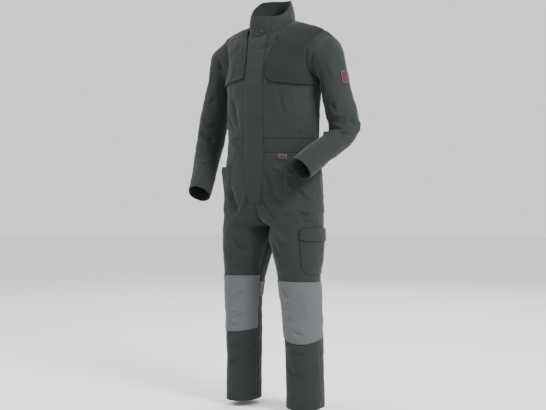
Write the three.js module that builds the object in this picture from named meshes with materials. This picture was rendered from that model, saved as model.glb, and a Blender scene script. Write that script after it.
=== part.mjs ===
import * as THREE from "three";

// A boiler suit, hollow and standing in the pose it keeps when worn.
// Millimetres: +X is the wearer's left, -Y the front, +Z up. The origin lies
// midway between the two points where shoulder seam and collar meet.

const CLOTH = 2;
const SEAM_GAP = 0.3;
const LAID_ON = CLOTH + SEAM_GAP;
const TRIM = 1.2;

const BAND_TOP = -436;
const BAND_BOTTOM = -486;
const HEM = -1413;

const SNAP_RADIUS = 6.5;
const SNAP_HEIGHT = 2.4;
const SNAP_AT = { x: 20, z: -40 };

const TWILL = { color: 0x3a403f, roughness: 0.95, metalness: 0 };
const LIGHT_TWILL = { color: 0x464e4d, roughness: 0.95, metalness: 0 };
const KNEE_CLOTH = { color: 0x76797c, roughness: 0.95, metalness: 0 };
const TAG_CLOTH = { color: 0x8f3a32, roughness: 0.9, metalness: 0 };
const SNAP_PAINT = { color: 0x2c3030, roughness: 0.5, metalness: 0.6 };

// Bodice rows, waist to shoulder seam, for the wearer's left: the point on
// the centre line or neckline, two curve handles, the point on the side seam
// or armhole.
const FRONT_ROWS = [
  [[0, -122, -486], [104, -124, -486], [183, -62, -486], [183, 0, -486]],
  [[0, -123, -410], [104, -125, -410], [184, -62, -410], [184, 0, -410]],
  [[0, -125, -330], [106, -127, -330], [187, -62, -330], [187, 0, -330]],
  [[0, -124, -258], [108, -128, -258], [192, -66, -260], [192, 0, -262]],
  [[0, -119, -190], [104, -126, -196], [186, -82, -214], [198, -4, -222]],
  [[0, -109, -126], [74, -115, -140], [150, -98, -172], [182, -42, -190]],
  [[0, -95, -63], [58, -102, -82], [128, -90, -118], [174, -52, -148]],
  [[34, -88, -56], [80, -90, -68], [136, -80, -94], [178, -50, -118]],
  [[62, -64, -40], [100, -68, -50], [150, -60, -70], [191, -38, -92]],
  [[79, -33, -18], [116, -38, -22], [166, -34, -40], [210, -20, -66]],
  [[82, -5, 0], [124, -4, -4], [184, -2, -20], [230, 0, -46]],
];

const BACK_ROWS = [
  [[0, 112, -486], [98, 114, -486], [183, 62, -486], [183, 0, -486]],
  [[0, 112, -410], [98, 114, -410], [184, 62, -410], [184, 0, -410]],
  [[0, 118, -330], [100, 120, -330], [187, 64, -330], [187, 0, -330]],
  [[0, 124, -258], [104, 128, -258], [192, 68, -260], [192, 0, -262]],
  [[0, 126, -190], [106, 132, -194], [192, 84, -214], [198, 4, -222]],
  [[0, 120, -122], [80, 126, -132], [160, 106, -168], [188, 46, -190]],
  [[0, 104, -52], [72, 112, -64], [146, 102, -112], [184, 58, -150]],
  [[0, 70, 23], [46, 84, 10], [130, 92, -60], [188, 52, -118]],
  [[30, 66, 22], [72, 76, 6], [146, 76, -50], [198, 36, -92]],
  [[64, 44, 14], [104, 50, 6], [162, 48, -28], [214, 18, -66]],
  [[82, -5, 0], [124, -4, -4], [184, -2, -20], [230, 0, -46]],
];

// Rows of one trouser leg, waist down to the crotch point. The columns are
// as in the bodice, and the last point lies on the outseam.
const HIP_FRONT_ROWS = [
  [[0, -122, -486], [104, -124, -486], [183, -62, -486], [183, 0, -486]],
  [[0, -120, -560], [108, -124, -560], [192, -62, -560], [192, 4, -560]],
  [[0, -116, -630], [110, -124, -630], [195, -66, -630], [195, 6, -630]],
  [[0.4, -106, -690], [100, -128, -690], [195, -84, -690], [195, 6, -690]],
  [[1.6, -76, -734], [70, -138, -736], [195, -110, -736], [195, 4, -736]],
  [[3, -2, -758], [24, -132, -766], [196, -136, -768], [196, 0, -768]],
];

const HIP_BACK_ROWS = [
  [[0, 112, -486], [98, 114, -486], [183, 62, -486], [183, 0, -486]],
  [[0, 124, -560], [102, 130, -560], [191, 64, -560], [192, 4, -560]],
  [[0, 134, -630], [104, 146, -630], [193, 72, -630], [195, 6, -630]],
  [[0.4, 128, -690], [92, 154, -690], [191, 90, -690], [195, 6, -690]],
  [[1.6, 92, -734], [62, 154, -736], [190, 112, -736], [195, 4, -736]],
  [[3, -2, -758], [24, 134, -766], [192, 132, -768], [196, 0, -768]],
];

// Rows of one leg below the crotch: height, inseam x, outseam x, y of both
// seams, and how far the cloth bows to the front and to the back of them.
const LEG_ROWS = [
  { z: -800, inner: 8, outer: 195, y: -4, front: 98, back: 100 },
  { z: -840, inner: 20, outer: 194, y: -10, front: 90, back: 94 },
  { z: -890, inner: 34, outer: 193, y: -14, front: 82, back: 86 },
  { z: -945, inner: 47, outer: 194, y: -15, front: 77, back: 80 },
  { z: -1000, inner: 56, outer: 198, y: -15, front: 74, back: 75 },
  { z: -1060, inner: 62, outer: 200, y: -13, front: 72, back: 72 },
  { z: -1130, inner: 67, outer: 200, y: -9, front: 71, back: 73 },
  { z: -1210, inner: 71, outer: 199, y: -5, front: 71, back: 74 },
  { z: -1310, inner: 74, outer: 200, y: -2, front: 73, back: 75 },
  { z: HEM, inner: 76, outer: 201, y: 0, front: 75, back: 76 },
];

// Sleeve rings from the cap down: centre, direction of the arm, half the
// width out from the body, half the width front to back.
const LEFT_SLEEVE_RINGS = [
  { at: [238, 5, -150], along: [0.9, 0, -0.44], out: 75, fore: 60 },
  { at: [253, 14, -214], along: [0.34, 0.14, -0.93], out: 49, fore: 60 },
  { at: [256, 34, -280], along: [0.1, 0.22, -0.98], out: 52, fore: 59 },
  { at: [262, 53, -338], along: [0.06, 0.18, -0.99], out: 54, fore: 58 },
  { at: [265, 64, -382], along: [0, -0.12, -0.99], out: 54, fore: 56 },
  { at: [263, 52, -418], along: [-0.14, -0.5, -0.86], out: 49, fore: 50 },
  { at: [254, 19, -446], along: [-0.22, -0.74, -0.64], out: 45, fore: 46 },
  { at: [239, -32, -477], along: [-0.23, -0.78, -0.59], out: 43, fore: 45 },
  { at: [222, -84, -513], along: [-0.24, -0.77, -0.59], out: 43, fore: 45 },
  { at: [205, -131, -547], along: [-0.25, -0.77, -0.59], out: 43, fore: 44 },
];

const RIGHT_SLEEVE_RINGS = [
  { at: [238, 3, -150], along: [0.9, 0, -0.44], out: 75, fore: 60 },
  { at: [251, 6, -214], along: [0.36, 0.04, -0.93], out: 51, fore: 60 },
  { at: [273, 8, -285], along: [0.26, 0.03, -0.98], out: 54, fore: 58 },
  { at: [292, 8, -350], along: [0.16, -0.02, -0.99], out: 55, fore: 57 },
  { at: [302, 2, -410], along: [0.02, -0.16, -0.99], out: 53, fore: 55 },
  { at: [301, -16, -468], along: [-0.08, -0.36, -0.92], out: 50, fore: 51 },
  { at: [290, -46, -526], along: [-0.18, -0.5, -0.86], out: 46, fore: 47 },
  { at: [273, -84, -580], along: [-0.16, -0.6, -0.79], out: 43, fore: 44 },
  { at: [260, -125, -634], along: [-0.12, -0.64, -0.76], out: 41, fore: 42 },
];

// How far each leg's seams stand out from the table below the knee.
const STANCE = {
  1: { inner: 2, outer: 5 },
  "-1": { inner: 5, outer: -5 },
};

const COLLAR_RIM = { x: 70, y: 80, centre: -18 };

// Height of the collar rim every 30 degrees, from the front to the back.
const RIM_HEIGHTS = {
  1: [[12], [12], [19], [44], [82], [94], [96]],
  "-1": [[12], [12], [32], [67], [93], [98], [96]],
};

// Where the trousers and waist stand off fuller, on the right side in front:
// height and amount.
const FULLER = { x: -0.82, y: -0.57 };
const FULLER_ROWS = [
  [-200, 0],
  [-300, 5],
  [-380, 9],
  [-486, 11],
  [-560, 12],
  [-900, 10],
  [-980, 3],
  [-1040, 0],
];

// Main folds, each a soft groove (depth below zero) or ridge along a line.
const FOLDS = [
  { from: [60, -125, -250], to: [84, -126, -430], wide: 26, deep: -3 },
  { from: [150, -95, -300], to: [120, -110, -420], wide: 30, deep: 4 },
  { from: [-80, -125, -250], to: [-110, -112, -430], wide: 28, deep: -4 },
  { from: [-150, -95, -250], to: [-160, -80, -400], wide: 30, deep: 4 },
  { from: [30, -120, -520], to: [110, -110, -700], wide: 30, deep: -5 },
  { from: [150, -90, -590], to: [60, -120, -640], wide: 24, deep: 4 },
  { from: [-40, -120, -700], to: [-150, -95, -600], wide: 28, deep: -4 },
  { from: [-140, -90, -600], to: [-150, -95, -780], wide: 26, deep: -5 },
  { from: [60, -110, -780], to: [90, -105, -900], wide: 24, deep: 4 },
  { from: [-60, -110, -780], to: [-70, -105, -900], wide: 30, deep: -4 },
  { from: [90, -90, -1190], to: [160, -85, -1215], wide: 26, deep: 4 },
  { from: [-90, -90, -1180], to: [-165, -85, -1200], wide: 26, deep: 4 },
  { from: [120, -80, -1250], to: [150, -75, -1390], wide: 26, deep: -4 },
  { from: [-110, -80, -1230], to: [-130, -75, -1390], wide: 26, deep: -4 },
  { from: [80, 125, -150], to: [120, 118, -400], wide: 34, deep: 5 },
  { from: [-80, 125, -150], to: [-120, 118, -400], wide: 34, deep: 5 },
  { from: [0, 125, -200], to: [0, 115, -420], wide: 40, deep: -4 },
  { from: [60, 150, -640], to: [130, 100, -780], wide: 30, deep: 4 },
  { from: [-60, 150, -640], to: [-130, 100, -780], wide: 30, deep: 4 },
  { from: [300, 60, -330], to: [290, 0, -440], wide: 24, deep: 4 },
  { from: [310, 90, -370], to: [262, 104, -430], wide: 22, deep: -4 },
  { from: [212, 20, -400], to: [300, 10, -420], wide: 20, deep: -5 },
  { from: [300, 10, -250], to: [306, 30, -330], wide: 26, deep: -4 },
  { from: [-240, -48, -300], to: [-310, -40, -330], wide: 24, deep: -4 },
  { from: [-250, -50, -430], to: [-320, -40, -400], wide: 22, deep: -5 },
  { from: [-240, -60, -500], to: [-310, -60, -480], wide: 22, deep: 4 },
];

const vec = (x, y, z) => new THREE.Vector3(x, y, z);
const mix = (a, b, t) => a + (b - a) * t;
const clamp = (x, lo, hi) => Math.max(lo, Math.min(hi, x));

/** Smooth run of values from 0 to 1. */
function ease(t) {
  const x = clamp(t, 0, 1);
  return x * x * (3 - 2 * x);
}

/** Slope that joins two steps without running past either of them. */
const joinSlope = (a, b) => (a * b > 0 ? 2 * a * b / (a + b) : 0);

/** Smooth value between the entries of a list of equal-length arrays. */
function between(list, place) {
  const last = list.length - 1;
  const i = clamp(Math.floor(place), 0, last - 1);
  const t = place - i;
  const entry = (k) => list[clamp(k, 0, last)];
  const [a, b, c, d] = [entry(i - 1), entry(i), entry(i + 1), entry(i + 2)];
  return b.map((value, k) => {
    const step = c[k] - value;
    const m0 = i > 0 ? joinSlope(value - a[k], step) : step;
    const m1 = i < last - 1 ? joinSlope(step, d[k] - c[k]) : step;
    const t2 = t * t;
    const t3 = t2 * t;
    return (2 * t3 - 3 * t2 + 1) * value + (t3 - 2 * t2 + t) * m0
      + (3 * t2 - 2 * t3) * c[k] + (t3 - t2) * m1;
  });
}

/** Height of all folds at a point, in mm along the cloth's normal. */
function foldHeight(p) {
  let height = 0;
  for (const { from, to, wide, deep } of FOLDS) {
    const start = vec(...from);
    const run = vec(...to).sub(start);
    const t = clamp(p.clone().sub(start).dot(run) / run.lengthSq(), 0, 1);
    const away = p.distanceTo(start.addScaledVector(run, t)) / wide;
    const taper = ease(Math.min(t, 1 - t) * 4 + 0.25);
    height += deep * taper * Math.exp(-away * away);
  }
  return height;
}

/**
 * A smooth surface over u and v from 0 to 1. `inside(z)` gives a point that
 * its back faces, and `hold` fades the folds out towards the seams.
 */
class Sheet {
  constructor(base, inside, hold = () => 1, closed = false) {
    this.base = base;
    this.hold = hold;
    this.closed = closed;
    const middle = base(0.3, 0.5);
    const away = middle.clone().sub(inside(middle.z));
    this.sign = Math.sign(this.crossing(base, 0.3, 0.5).dot(away));
  }

  crossing(surface, u, v) {
    const h = 0.004;
    const [u0, u1] = this.closed ? [u - h, u + h] : [Math.max(u - h, 0), Math.min(u + h, 1)];
    const [v0, v1] = [Math.max(v - h, 0), Math.min(v + h, 1)];
    const du = surface(u1, v).sub(surface(u0, v));
    const dv = surface(u, v1).sub(surface(u, v0));
    return du.cross(dv).normalize();
  }

  at(u, v) {
    const p = this.base(u, v);
    const hold = this.hold(u, v);
    if (hold < 0.001) {
      return p;
    }
    const n = this.crossing(this.base, u, v).multiplyScalar(this.sign);
    return p.addScaledVector(n, hold * foldHeight(p));
  }

  normal(u, v) {
    return this.crossing((a, b) => this.at(a, b), u, v).multiplyScalar(this.sign);
  }

  lifted(u, v, height) {
    return this.at(u, v).addScaledVector(this.normal(u, v), height);
  }
}

/** Folds fade out over the last tenth of a panel, so that seams stay shut. */
const seamHold = (u, v) => ease(Math.min(u, 1 - u, v, 1 - v) * 10);

/** Point on the cubic curve through a row's four control points. */
function rowPoint(row, u) {
  const w = 1 - u;
  const parts = [w * w * w, 3 * w * w * u, 3 * w * u * u, u * u * u];
  const sum = [0, 1, 2].map((k) => parts.reduce((s, part, i) => s + part * row[3 * i + k], 0));
  return vec(...sum);
}

/** Amount of a table of [place, amount] rows at a place, straight between rows. */
function amountAt(table, at) {
  const i = table.findIndex(([place]) => place <= at);
  if (i < 1) {
    return table[i < 0 ? table.length - 1 : 0][1];
  }
  const [[a, from], [b, to]] = [table[i - 1], table[i]];
  return mix(from, to, (at - a) / (b - a));
}

/** Moves a point of the body out where the suit stands fuller. */
function stoodOff(p) {
  const facing = (p.x * FULLER.x + p.y * FULLER.y) / Math.hypot(p.x, p.y, 1);
  const push = amountAt(FULLER_ROWS, p.z) * Math.max(facing, 0) ** 4;
  return vec(p.x + push * FULLER.x, p.y + push * FULLER.y, p.z);
}

/** Sheet through rows, on the wearer's left (side 1) or right (side -1). */
function rowSheet(rows, side, inside) {
  const flat = rows.map((row) => row.flat());
  const base = (u, v) => {
    const row = between(flat, v * (flat.length - 1));
    const p = rowPoint(row, u);
    p.x *= side;
    return stoodOff(p);
  };
  return new Sheet(base, inside, seamHold);
}

/** Two sheets joined at the outer edge: u runs over one and back on the other. */
function doubled(first, second, inside) {
  const pick = (u, v, name) => (u < 0.5
    ? first[name](2 * u, v)
    : second[name](2 - 2 * u, v));
  const sheet = new Sheet((u, v) => pick(u, v, "base"), inside);
  sheet.hold = (u, v) => pick(u, v, "hold");
  return sheet;
}

/** Control row of a half loop around a leg. */
function legRow({ z, inner, outer, y }, bow, side) {
  const low = ease((-z - 800) / 140);
  const far = y + bow * 4 / 3;
  const near = inner + low * STANCE[side].inner;
  const out = outer + low * STANCE[side].outer;
  return [[near, y, z], [near, far, z], [out, far, z], [out, y, z]];
}

const torsoCore = (z) => vec(0, 0, z);
const legCore = (side) => (z) => vec(side * 115, -5, z);

const bodice = {};
const leg = {};
for (const side of [1, -1]) {
  bodice[side] = {
    front: rowSheet(FRONT_ROWS, side, torsoCore),
    back: rowSheet(BACK_ROWS, side, torsoCore),
  };
  const frontRows = [...HIP_FRONT_ROWS, ...LEG_ROWS.map((r) => legRow(r, -r.front, side))];
  const backRows = [...HIP_BACK_ROWS, ...LEG_ROWS.map((r) => legRow(r, r.back, side))];
  leg[side] = {
    front: rowSheet(frontRows, side, legCore(side)),
    back: rowSheet(backRows, side, legCore(side)),
  };
  leg[side].round = doubled(leg[side].front, leg[side].back, legCore(side));
}

// Height of the back's yoke seam and of the back neckline, as places v.
const YOKE_SEAM = 0.5;
const NECK_START = 6 / (FRONT_ROWS.length - 1);
const NECK_BACK = 7 / (BACK_ROWS.length - 1);

/** Back of the bodice in one sheet, left side seam to right side seam. */
const wholeBack = new Sheet(
  (u, v) => (u < 0.5
    ? bodice[1].back.base(1 - 2 * u, v)
    : bodice[-1].back.base(2 * u - 1, v)),
  torsoCore,
);
wholeBack.hold = seamHold;

/**
 * Back yoke, which goes round the neck: s from the left shoulder seam to the
 * right one, t from the neckline to the armholes and the yoke seam.
 */
const yokeSheet = new Sheet((s, t) => {
  const side = s < 0.5 ? 1 : -1;
  const w = s < 0.5 ? 2 * s : 2 - 2 * s;
  const neckV = mix(1, NECK_BACK, w);
  const rimU = w < 0.5 ? 1 : 2 - 2 * w;
  const rimV = w < 0.5 ? mix(1, YOKE_SEAM, 2 * w) : YOKE_SEAM;
  return bodice[side].back.base(rimU * t, mix(neckV, rimV, t));
}, torsoCore);
yokeSheet.hold = seamHold;

/** Place v of a height on the line u of a sheet. */
function vAtHeight(sheet, u, z) {
  const up = Math.sign(sheet.base(u, 1).z - sheet.base(u, 0).z);
  let [lo, hi] = [0, 1];
  for (let i = 0; i < 30; i += 1) {
    const middle = (lo + hi) / 2;
    if ((sheet.base(u, middle).z - z) * up < 0) {
      lo = middle;
    } else {
      hi = middle;
    }
  }
  return (lo + hi) / 2;
}

/** Place [u, v] on a half sheet whose distance from the middle is x at height z. */
function place(sheet, x, z) {
  let [lo, hi] = [0, 1];
  for (let i = 0; i < 24; i += 1) {
    const u = (lo + hi) / 2;
    if (Math.abs(sheet.base(u, vAtHeight(sheet, u, z)).x) < x) {
      lo = u;
    } else {
      hi = u;
    }
  }
  const u = (lo + hi) / 2;
  return [u, vAtHeight(sheet, u, z)];
}

const group = new THREE.Group();

/** Closed wall between two grids of points. */
function addWall(name, columns, rows, inner, outer, looks) {
  const across = columns + 1;
  const count = across * (rows + 1);
  const points = [];
  for (const grid of [inner, outer]) {
    for (let j = 0; j <= rows; j += 1) {
      for (let i = 0; i < across; i += 1) {
        points.push(...grid(i / columns, j / rows).toArray());
      }
    }
  }
  const faces = [];
  const quad = (a, b, c, d) => faces.push(a, b, c, a, c, d);
  const id = (i, j) => j * across + i;
  for (let j = 0; j < rows; j += 1) {
    for (let i = 0; i < columns; i += 1) {
      const [a, b, c, d] = [id(i, j), id(i + 1, j), id(i + 1, j + 1), id(i, j + 1)];
      quad(a, d, c, b);
      quad(a + count, b + count, c + count, d + count);
    }
  }
  for (let i = 0; i < columns; i += 1) {
    quad(id(i, 0), id(i + 1, 0), id(i + 1, 0) + count, id(i, 0) + count);
    quad(id(i, rows) + count, id(i + 1, rows) + count, id(i + 1, rows), id(i, rows));
  }
  for (let j = 0; j < rows; j += 1) {
    quad(id(0, j) + count, id(0, j + 1) + count, id(0, j + 1), id(0, j));
    quad(id(columns, j), id(columns, j + 1), id(columns, j + 1) + count, id(columns, j) + count);
  }
  if (volume(points, faces) < 0) {
    for (let k = 0; k < faces.length; k += 3) {
      [faces[k], faces[k + 1]] = [faces[k + 1], faces[k]];
    }
  }
  const geometry = new THREE.BufferGeometry();
  geometry.setAttribute("position", new THREE.Float32BufferAttribute(points, 3));
  geometry.setIndex(faces);
  geometry.computeVertexNormals();
  const mesh = new THREE.Mesh(geometry, new THREE.MeshStandardMaterial(looks));
  mesh.name = name;
  group.add(mesh);
}

/** Volume that a closed mesh holds, below zero where its faces point in. */
function volume(points, faces) {
  const corner = (k) => vec(...points.slice(3 * faces[k], 3 * faces[k] + 3));
  let sum = 0;
  for (let k = 0; k < faces.length; k += 3) {
    sum += corner(k).dot(corner(k + 1).cross(corner(k + 2)));
  }
  return sum / 6;
}

/**
 * Cloth on a sheet. `region` turns the piece's own s and t into u and v,
 * `lift` is its height over the sheet at s and t.
 */
function addCloth(name, sheet, options) {
  const { columns, rows, region, looks = TWILL } = options;
  const { lift = () => 0, thick = CLOTH } = options;
  const grid = (extra) => (s, t) => {
    const [u, v] = region(s, t);
    return sheet.lifted(u, v, lift(s, t) + extra);
  };
  addWall(name, columns, rows, grid(0), grid(thick), looks);
}

/** Region of a whole panel, drawn in at its edges by about half a seam gap. */
function panelRegion(width, length, from = 0, to = 1) {
  const du = SEAM_GAP / 2 / width;
  const dv = SEAM_GAP / 2 / length;
  return (s, t) => [mix(du, 1 - du, s), mix(from + dv, to - dv, t)];
}

// Bodice
const bandV = vAtHeight(bodice[1].front, 0.5, BAND_TOP);
const sideName = { 1: "left", "-1": "right" };
for (const side of [1, -1]) {
  addCloth(`front_${sideName[side]}`, bodice[side].front, {
    columns: 11,
    rows: 16,
    region: panelRegion(140, 420, bandV),
  });
}
addCloth("back", wholeBack, {
  columns: 18,
  rows: 11,
  region: panelRegion(290, 420, bandV, YOKE_SEAM),
});
addCloth("back_yoke", yokeSheet, {
  columns: 24,
  rows: 7,
  region: panelRegion(220, 100),
});

/** Waistband round the body, from the left front edge to the right one. */
const girdle = new Sheet((u, v) => {
  const quarter = Math.min(Math.floor(u * 4), 3);
  const f = u * 4 - quarter;
  const height = v * bandV;
  return [
    () => bodice[1].front.base(f, height),
    () => bodice[1].back.base(1 - f, height),
    () => bodice[-1].back.base(f, height),
    () => bodice[-1].front.base(1 - f, height),
  ][quarter]();
}, torsoCore);
addCloth("waistband", girdle, {
  columns: 44,
  rows: 2,
  region: panelRegion(1000, 50),
});

// Collar: stands on the neckline and leans in towards its rim.
/** Neckline point, w from 0 at the front to 1 at the back, on one side. */
function neckline(w, side) {
  const p = w < 0.5
    ? bodice[side].front.base(0, mix(NECK_START, 1, w * 2))
    : bodice[side].back.base(0, mix(1, NECK_BACK, w * 2 - 1));
  p.z += 0.9 + 2.4 * Math.sin(Math.PI * Math.min(w, 0.5));
  return p;
}

const collarSheet = new Sheet((u, v) => {
  const side = u < 0.5 ? 1 : -1;
  const w = u < 0.5 ? u * 2 : 2 - u * 2;
  const foot = neckline(w, side);
  const turn = Math.PI * w;
  const rim = vec(
    side * COLLAR_RIM.x * Math.sin(turn),
    COLLAR_RIM.centre - COLLAR_RIM.y * Math.cos(turn),
    between(RIM_HEIGHTS[side], w * 6)[0],
  );
  const out = vec(side * Math.sin(turn), -Math.cos(turn), 0);
  return foot.lerp(rim, v).addScaledVector(out, 5 * Math.sin(Math.PI * v) * Math.sin(turn));
}, torsoCore);
addCloth("collar", collarSheet, {
  columns: 32,
  rows: 3,
  region: panelRegion(480, 75),
});

const PLACKET_CLEAR = 0.7;
const PLACKET_CLEAR_AT_COLLAR = 2.1;

// Placket over the zip, from the collar rim over the waistband to the fly end.
// Columns: height, right edge, left edge.
const PLACKET_ROWS = [
  [14, -33, 37],
  [-10, -34, 38],
  [-36, -36, 38],
  [-60, -38, 37],
  [-90, -41, 35],
  [-124, -40, 34],
  [-155, -38, 34],
  [-210, -40, 34],
  [-270, -41, 35],
  [-330, -41, 35],
  [-400, -40, 36],
  [-440, -40, 37],
  [-486, -40, 37],
  [-540, -38, 32],
  [-600, -35, 28],
  [-640, -33, 26],
  [-667, -31, 24],
];

/** Point and normal of the front at a distance x from the middle and a height. */
function onFront(x, z) {
  const side = x < 0 ? -1 : 1;
  const far = Math.abs(x);
  if (z > -58) {
    const u = Math.asin(clamp(far / mix(84, 70, ease((z + 60) / 70)), 0, 1)) / Math.PI / 2;
    const half = side > 0 ? u : 1 - u;
    const v = vAtHeight(collarSheet, half, Math.min(z, 9));
    const point = collarSheet.at(half, v);
    point.z = z;
    return { point, normal: collarSheet.normal(half, v) };
  }
  const sheet = z > BAND_BOTTOM ? bodice[side].front : leg[side].front;
  const [u, v] = place(sheet, Math.max(far, 0.5), z);
  const point = sheet.at(u, v);
  point.x = x;
  return { point, normal: sheet.normal(u, v) };
}

/** Air under the placket, wider where it passes from the front to the collar. */
const placketClear = (z) => mix(PLACKET_CLEAR, PLACKET_CLEAR_AT_COLLAR, ease((z + 110) / 30));

/** Placket point: s from its right to its left edge, t from top to bottom. */
function placketPoint(s, t, height) {
  const i = Math.min(Math.floor(t * (PLACKET_ROWS.length - 1)), PLACKET_ROWS.length - 2);
  const f = t * (PLACKET_ROWS.length - 1) - i;
  const [z, right, left] = PLACKET_ROWS[i].map((value, k) => mix(value, PLACKET_ROWS[i + 1][k], f));
  const { point, normal } = onFront(mix(right, left, s), z);
  return point.addScaledVector(normal, LAID_ON + placketClear(z) + height);
}

addWall(
  "placket",
  4,
  32,
  (s, t) => placketPoint(s, t, 0),
  (s, t) => placketPoint(s, t, CLOTH),
  TWILL,
);

// Chest flaps, from the shoulder seam down. Columns: inner edge x and z,
// place v of the outer edge on the armhole.
const FLAP_ROWS = {
  1: [
    [70, -228, 0.352],
    [58, -217, 0.4],
    [48, -203, 0.46],
    [45, -178, 0.52],
    [49, -150, 0.58],
    [62, -120, 0.66],
    [76, -86, 0.75],
    [72, -52, 0.84],
    [80, -30, 0.92],
    [83, -5, 0.998],
  ],
  "-1": [
    [52, -212, 0.372],
    [46, -205, 0.42],
    [45, -186, 0.48],
    [45, -160, 0.55],
    [45, -134, 0.62],
    [46, -106, 0.7],
    [50, -80, 0.78],
    [66, -50, 0.86],
    [79, -30, 0.93],
    [83, -5, 0.998],
  ],
};

const FLAP_CLEAR = 2.1;
for (const side of [1, -1]) {
  const sheet = bodice[side].front;
  const inner = FLAP_ROWS[side].map(([x, z]) => place(sheet, x, z));
  const outer = FLAP_ROWS[side].map((row) => [0.935, row[2]]);
  const sag = side > 0 ? 0.012 : 0.006;
  addCloth(`chest_flap_${sideName[side]}`, sheet, {
    columns: 10,
    rows: 12,
    region: (s, t) => {
      const [u0, v0] = between(inner, t * (inner.length - 1));
      const [u1, v1] = between(outer, t * (outer.length - 1));
      const v = mix(v0, v1, s) - sag * Math.sin(Math.PI * s) * (1 - t);
      return [mix(Math.max(u0, 0.045), u1, s), Math.min(v, 0.998)];
    },
    lift: () => LAID_ON + FLAP_CLEAR,
  });
}

// Sleeves
const ARMPIT = 4 / (FRONT_ROWS.length - 1);

/** Armhole point, u from 0 at the shoulder over the front and the armpit. */
function armhole(u, side) {
  const w = u < 0.5 ? u * 2 : 2 - u * 2;
  const sheet = u < 0.5 ? bodice[side].front : bodice[side].back;
  const p = sheet.base(1, mix(1, ARMPIT, w));
  p.x += side * (1.9 + 5.2 * Math.sin(Math.PI * u) ** 3);
  return p;
}

/** Point on a sleeve ring: u from 0 outside over the front to the inside. */
function ringPoint({ at, along, out, fore }, u, side) {
  const arm = vec(...along).normalize();
  const outward = vec(1, 0, 0).addScaledVector(arm, -arm.x).normalize();
  const forward = outward.clone().cross(arm).normalize();
  if (forward.y > 0) {
    forward.negate();
  }
  const p = vec(...at)
    .addScaledVector(outward, out * Math.cos(2 * Math.PI * u))
    .addScaledVector(forward, fore * Math.sin(2 * Math.PI * u));
  p.x *= side;
  return p;
}

function sleeveSheet(rings, side) {
  const base = (u, v) => {
    const turn = u - Math.floor(u);
    const line = [armhole(turn, side), ...rings.map((ring) => ringPoint(ring, turn, side))];
    return vec(...between(line.map((p) => p.toArray()), v * (line.length - 1)));
  };
  const elbow = rings[4].at;
  const inside = () => vec(side * elbow[0], elbow[1], elbow[2]);
  return new Sheet(base, inside, (u, v) => ease(v * 8), true);
}

const sleeve = {
  1: sleeveSheet(LEFT_SLEEVE_RINGS, 1),
  "-1": sleeveSheet(RIGHT_SLEEVE_RINGS, -1),
};

// A top sleeve and an under sleeve, joined at the underarm seam and at the
// elbow seam behind. Seams are places u, in sixteenths of the turn.
const SLEEVE_GIRTH = 330;
const ARMPIT_EASE = 1.6;
const SLEEVE_PANELS = [
  { name: "top_sleeve", from: -2, to: 8 },
  { name: "under_sleeve", from: 8, to: 14 },
];
for (const side of [1, -1]) {
  for (const { name, from, to } of SLEEVE_PANELS) {
    addCloth(`${name}_${sideName[side]}`, sleeve[side], {
      columns: to - from,
      rows: 20,
      looks: LIGHT_TWILL,
      region: (s, t) => {
        const inset = (SEAM_GAP + ARMPIT_EASE * (1 - ease(t * 2.5))) / SLEEVE_GIRTH;
        return [mix(from / 16 + inset, to / 16 - inset, s), t];
      },
    });
  }
}

// Trousers. What lies on a leg has its columns on those of the leg.
const LEG_COLUMNS = 8;
const PATCH_CLEAR = 0.7;
for (const side of [1, -1]) {
  for (const face of ["front", "back"]) {
    addCloth(`leg_${face}_${sideName[side]}`, leg[side][face], {
      columns: LEG_COLUMNS,
      rows: 24,
      region: panelRegion(100, 460),
    });
  }
}

/** Region between two heights of a leg, which may both change with s. */
function legRegion(sheet, from, to, top, bottom) {
  return (s, t) => {
    const u = mix(from, to, s);
    return [u, vAtHeight(sheet, u, mix(top(s), bottom(s), t))];
  };
}

const KNEES = {
  1: { top: (s) => -948 - 4 * s, bottom: (s) => -1134 - 20 * s - 30 * Math.sin(Math.PI * s) },
  "-1": { top: (s) => -936 - 6 * s, bottom: (s) => -1138 - 12 * s - 8 * Math.sin(Math.PI * s) },
};

// The panels reach a little past the outseam, where the bands meet them.
const KNEE_PANEL_END = 9 / 16;
const KNEE_BAND_END = 2 - 2 * KNEE_PANEL_END;
for (const side of [1, -1]) {
  addCloth(`knee_panel_${sideName[side]}`, leg[side].round, {
    columns: LEG_COLUMNS + 1,
    rows: 8,
    looks: KNEE_CLOTH,
    lift: () => LAID_ON + PATCH_CLEAR,
    region: legRegion(leg[side].round, 0.001, KNEE_PANEL_END, KNEES[side].top, KNEES[side].bottom),
  });
  addCloth(`knee_band_${sideName[side]}`, leg[side].back, {
    columns: LEG_COLUMNS - 1,
    rows: 3,
    looks: KNEE_CLOTH,
    lift: () => LAID_ON + PATCH_CLEAR,
    region: legRegion(leg[side].back, 0.004, KNEE_BAND_END - 0.003, () => -963, () => -1021),
  });
}

/** Bulge of a pocket: flat on its edges, standing off by `deep` in the middle. */
function puff(s, t, deep) {
  return deep * ease(Math.min(s, 1 - s) * 4) * ease(Math.min(t + 0.1, 1 - t) * 4);
}

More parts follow.
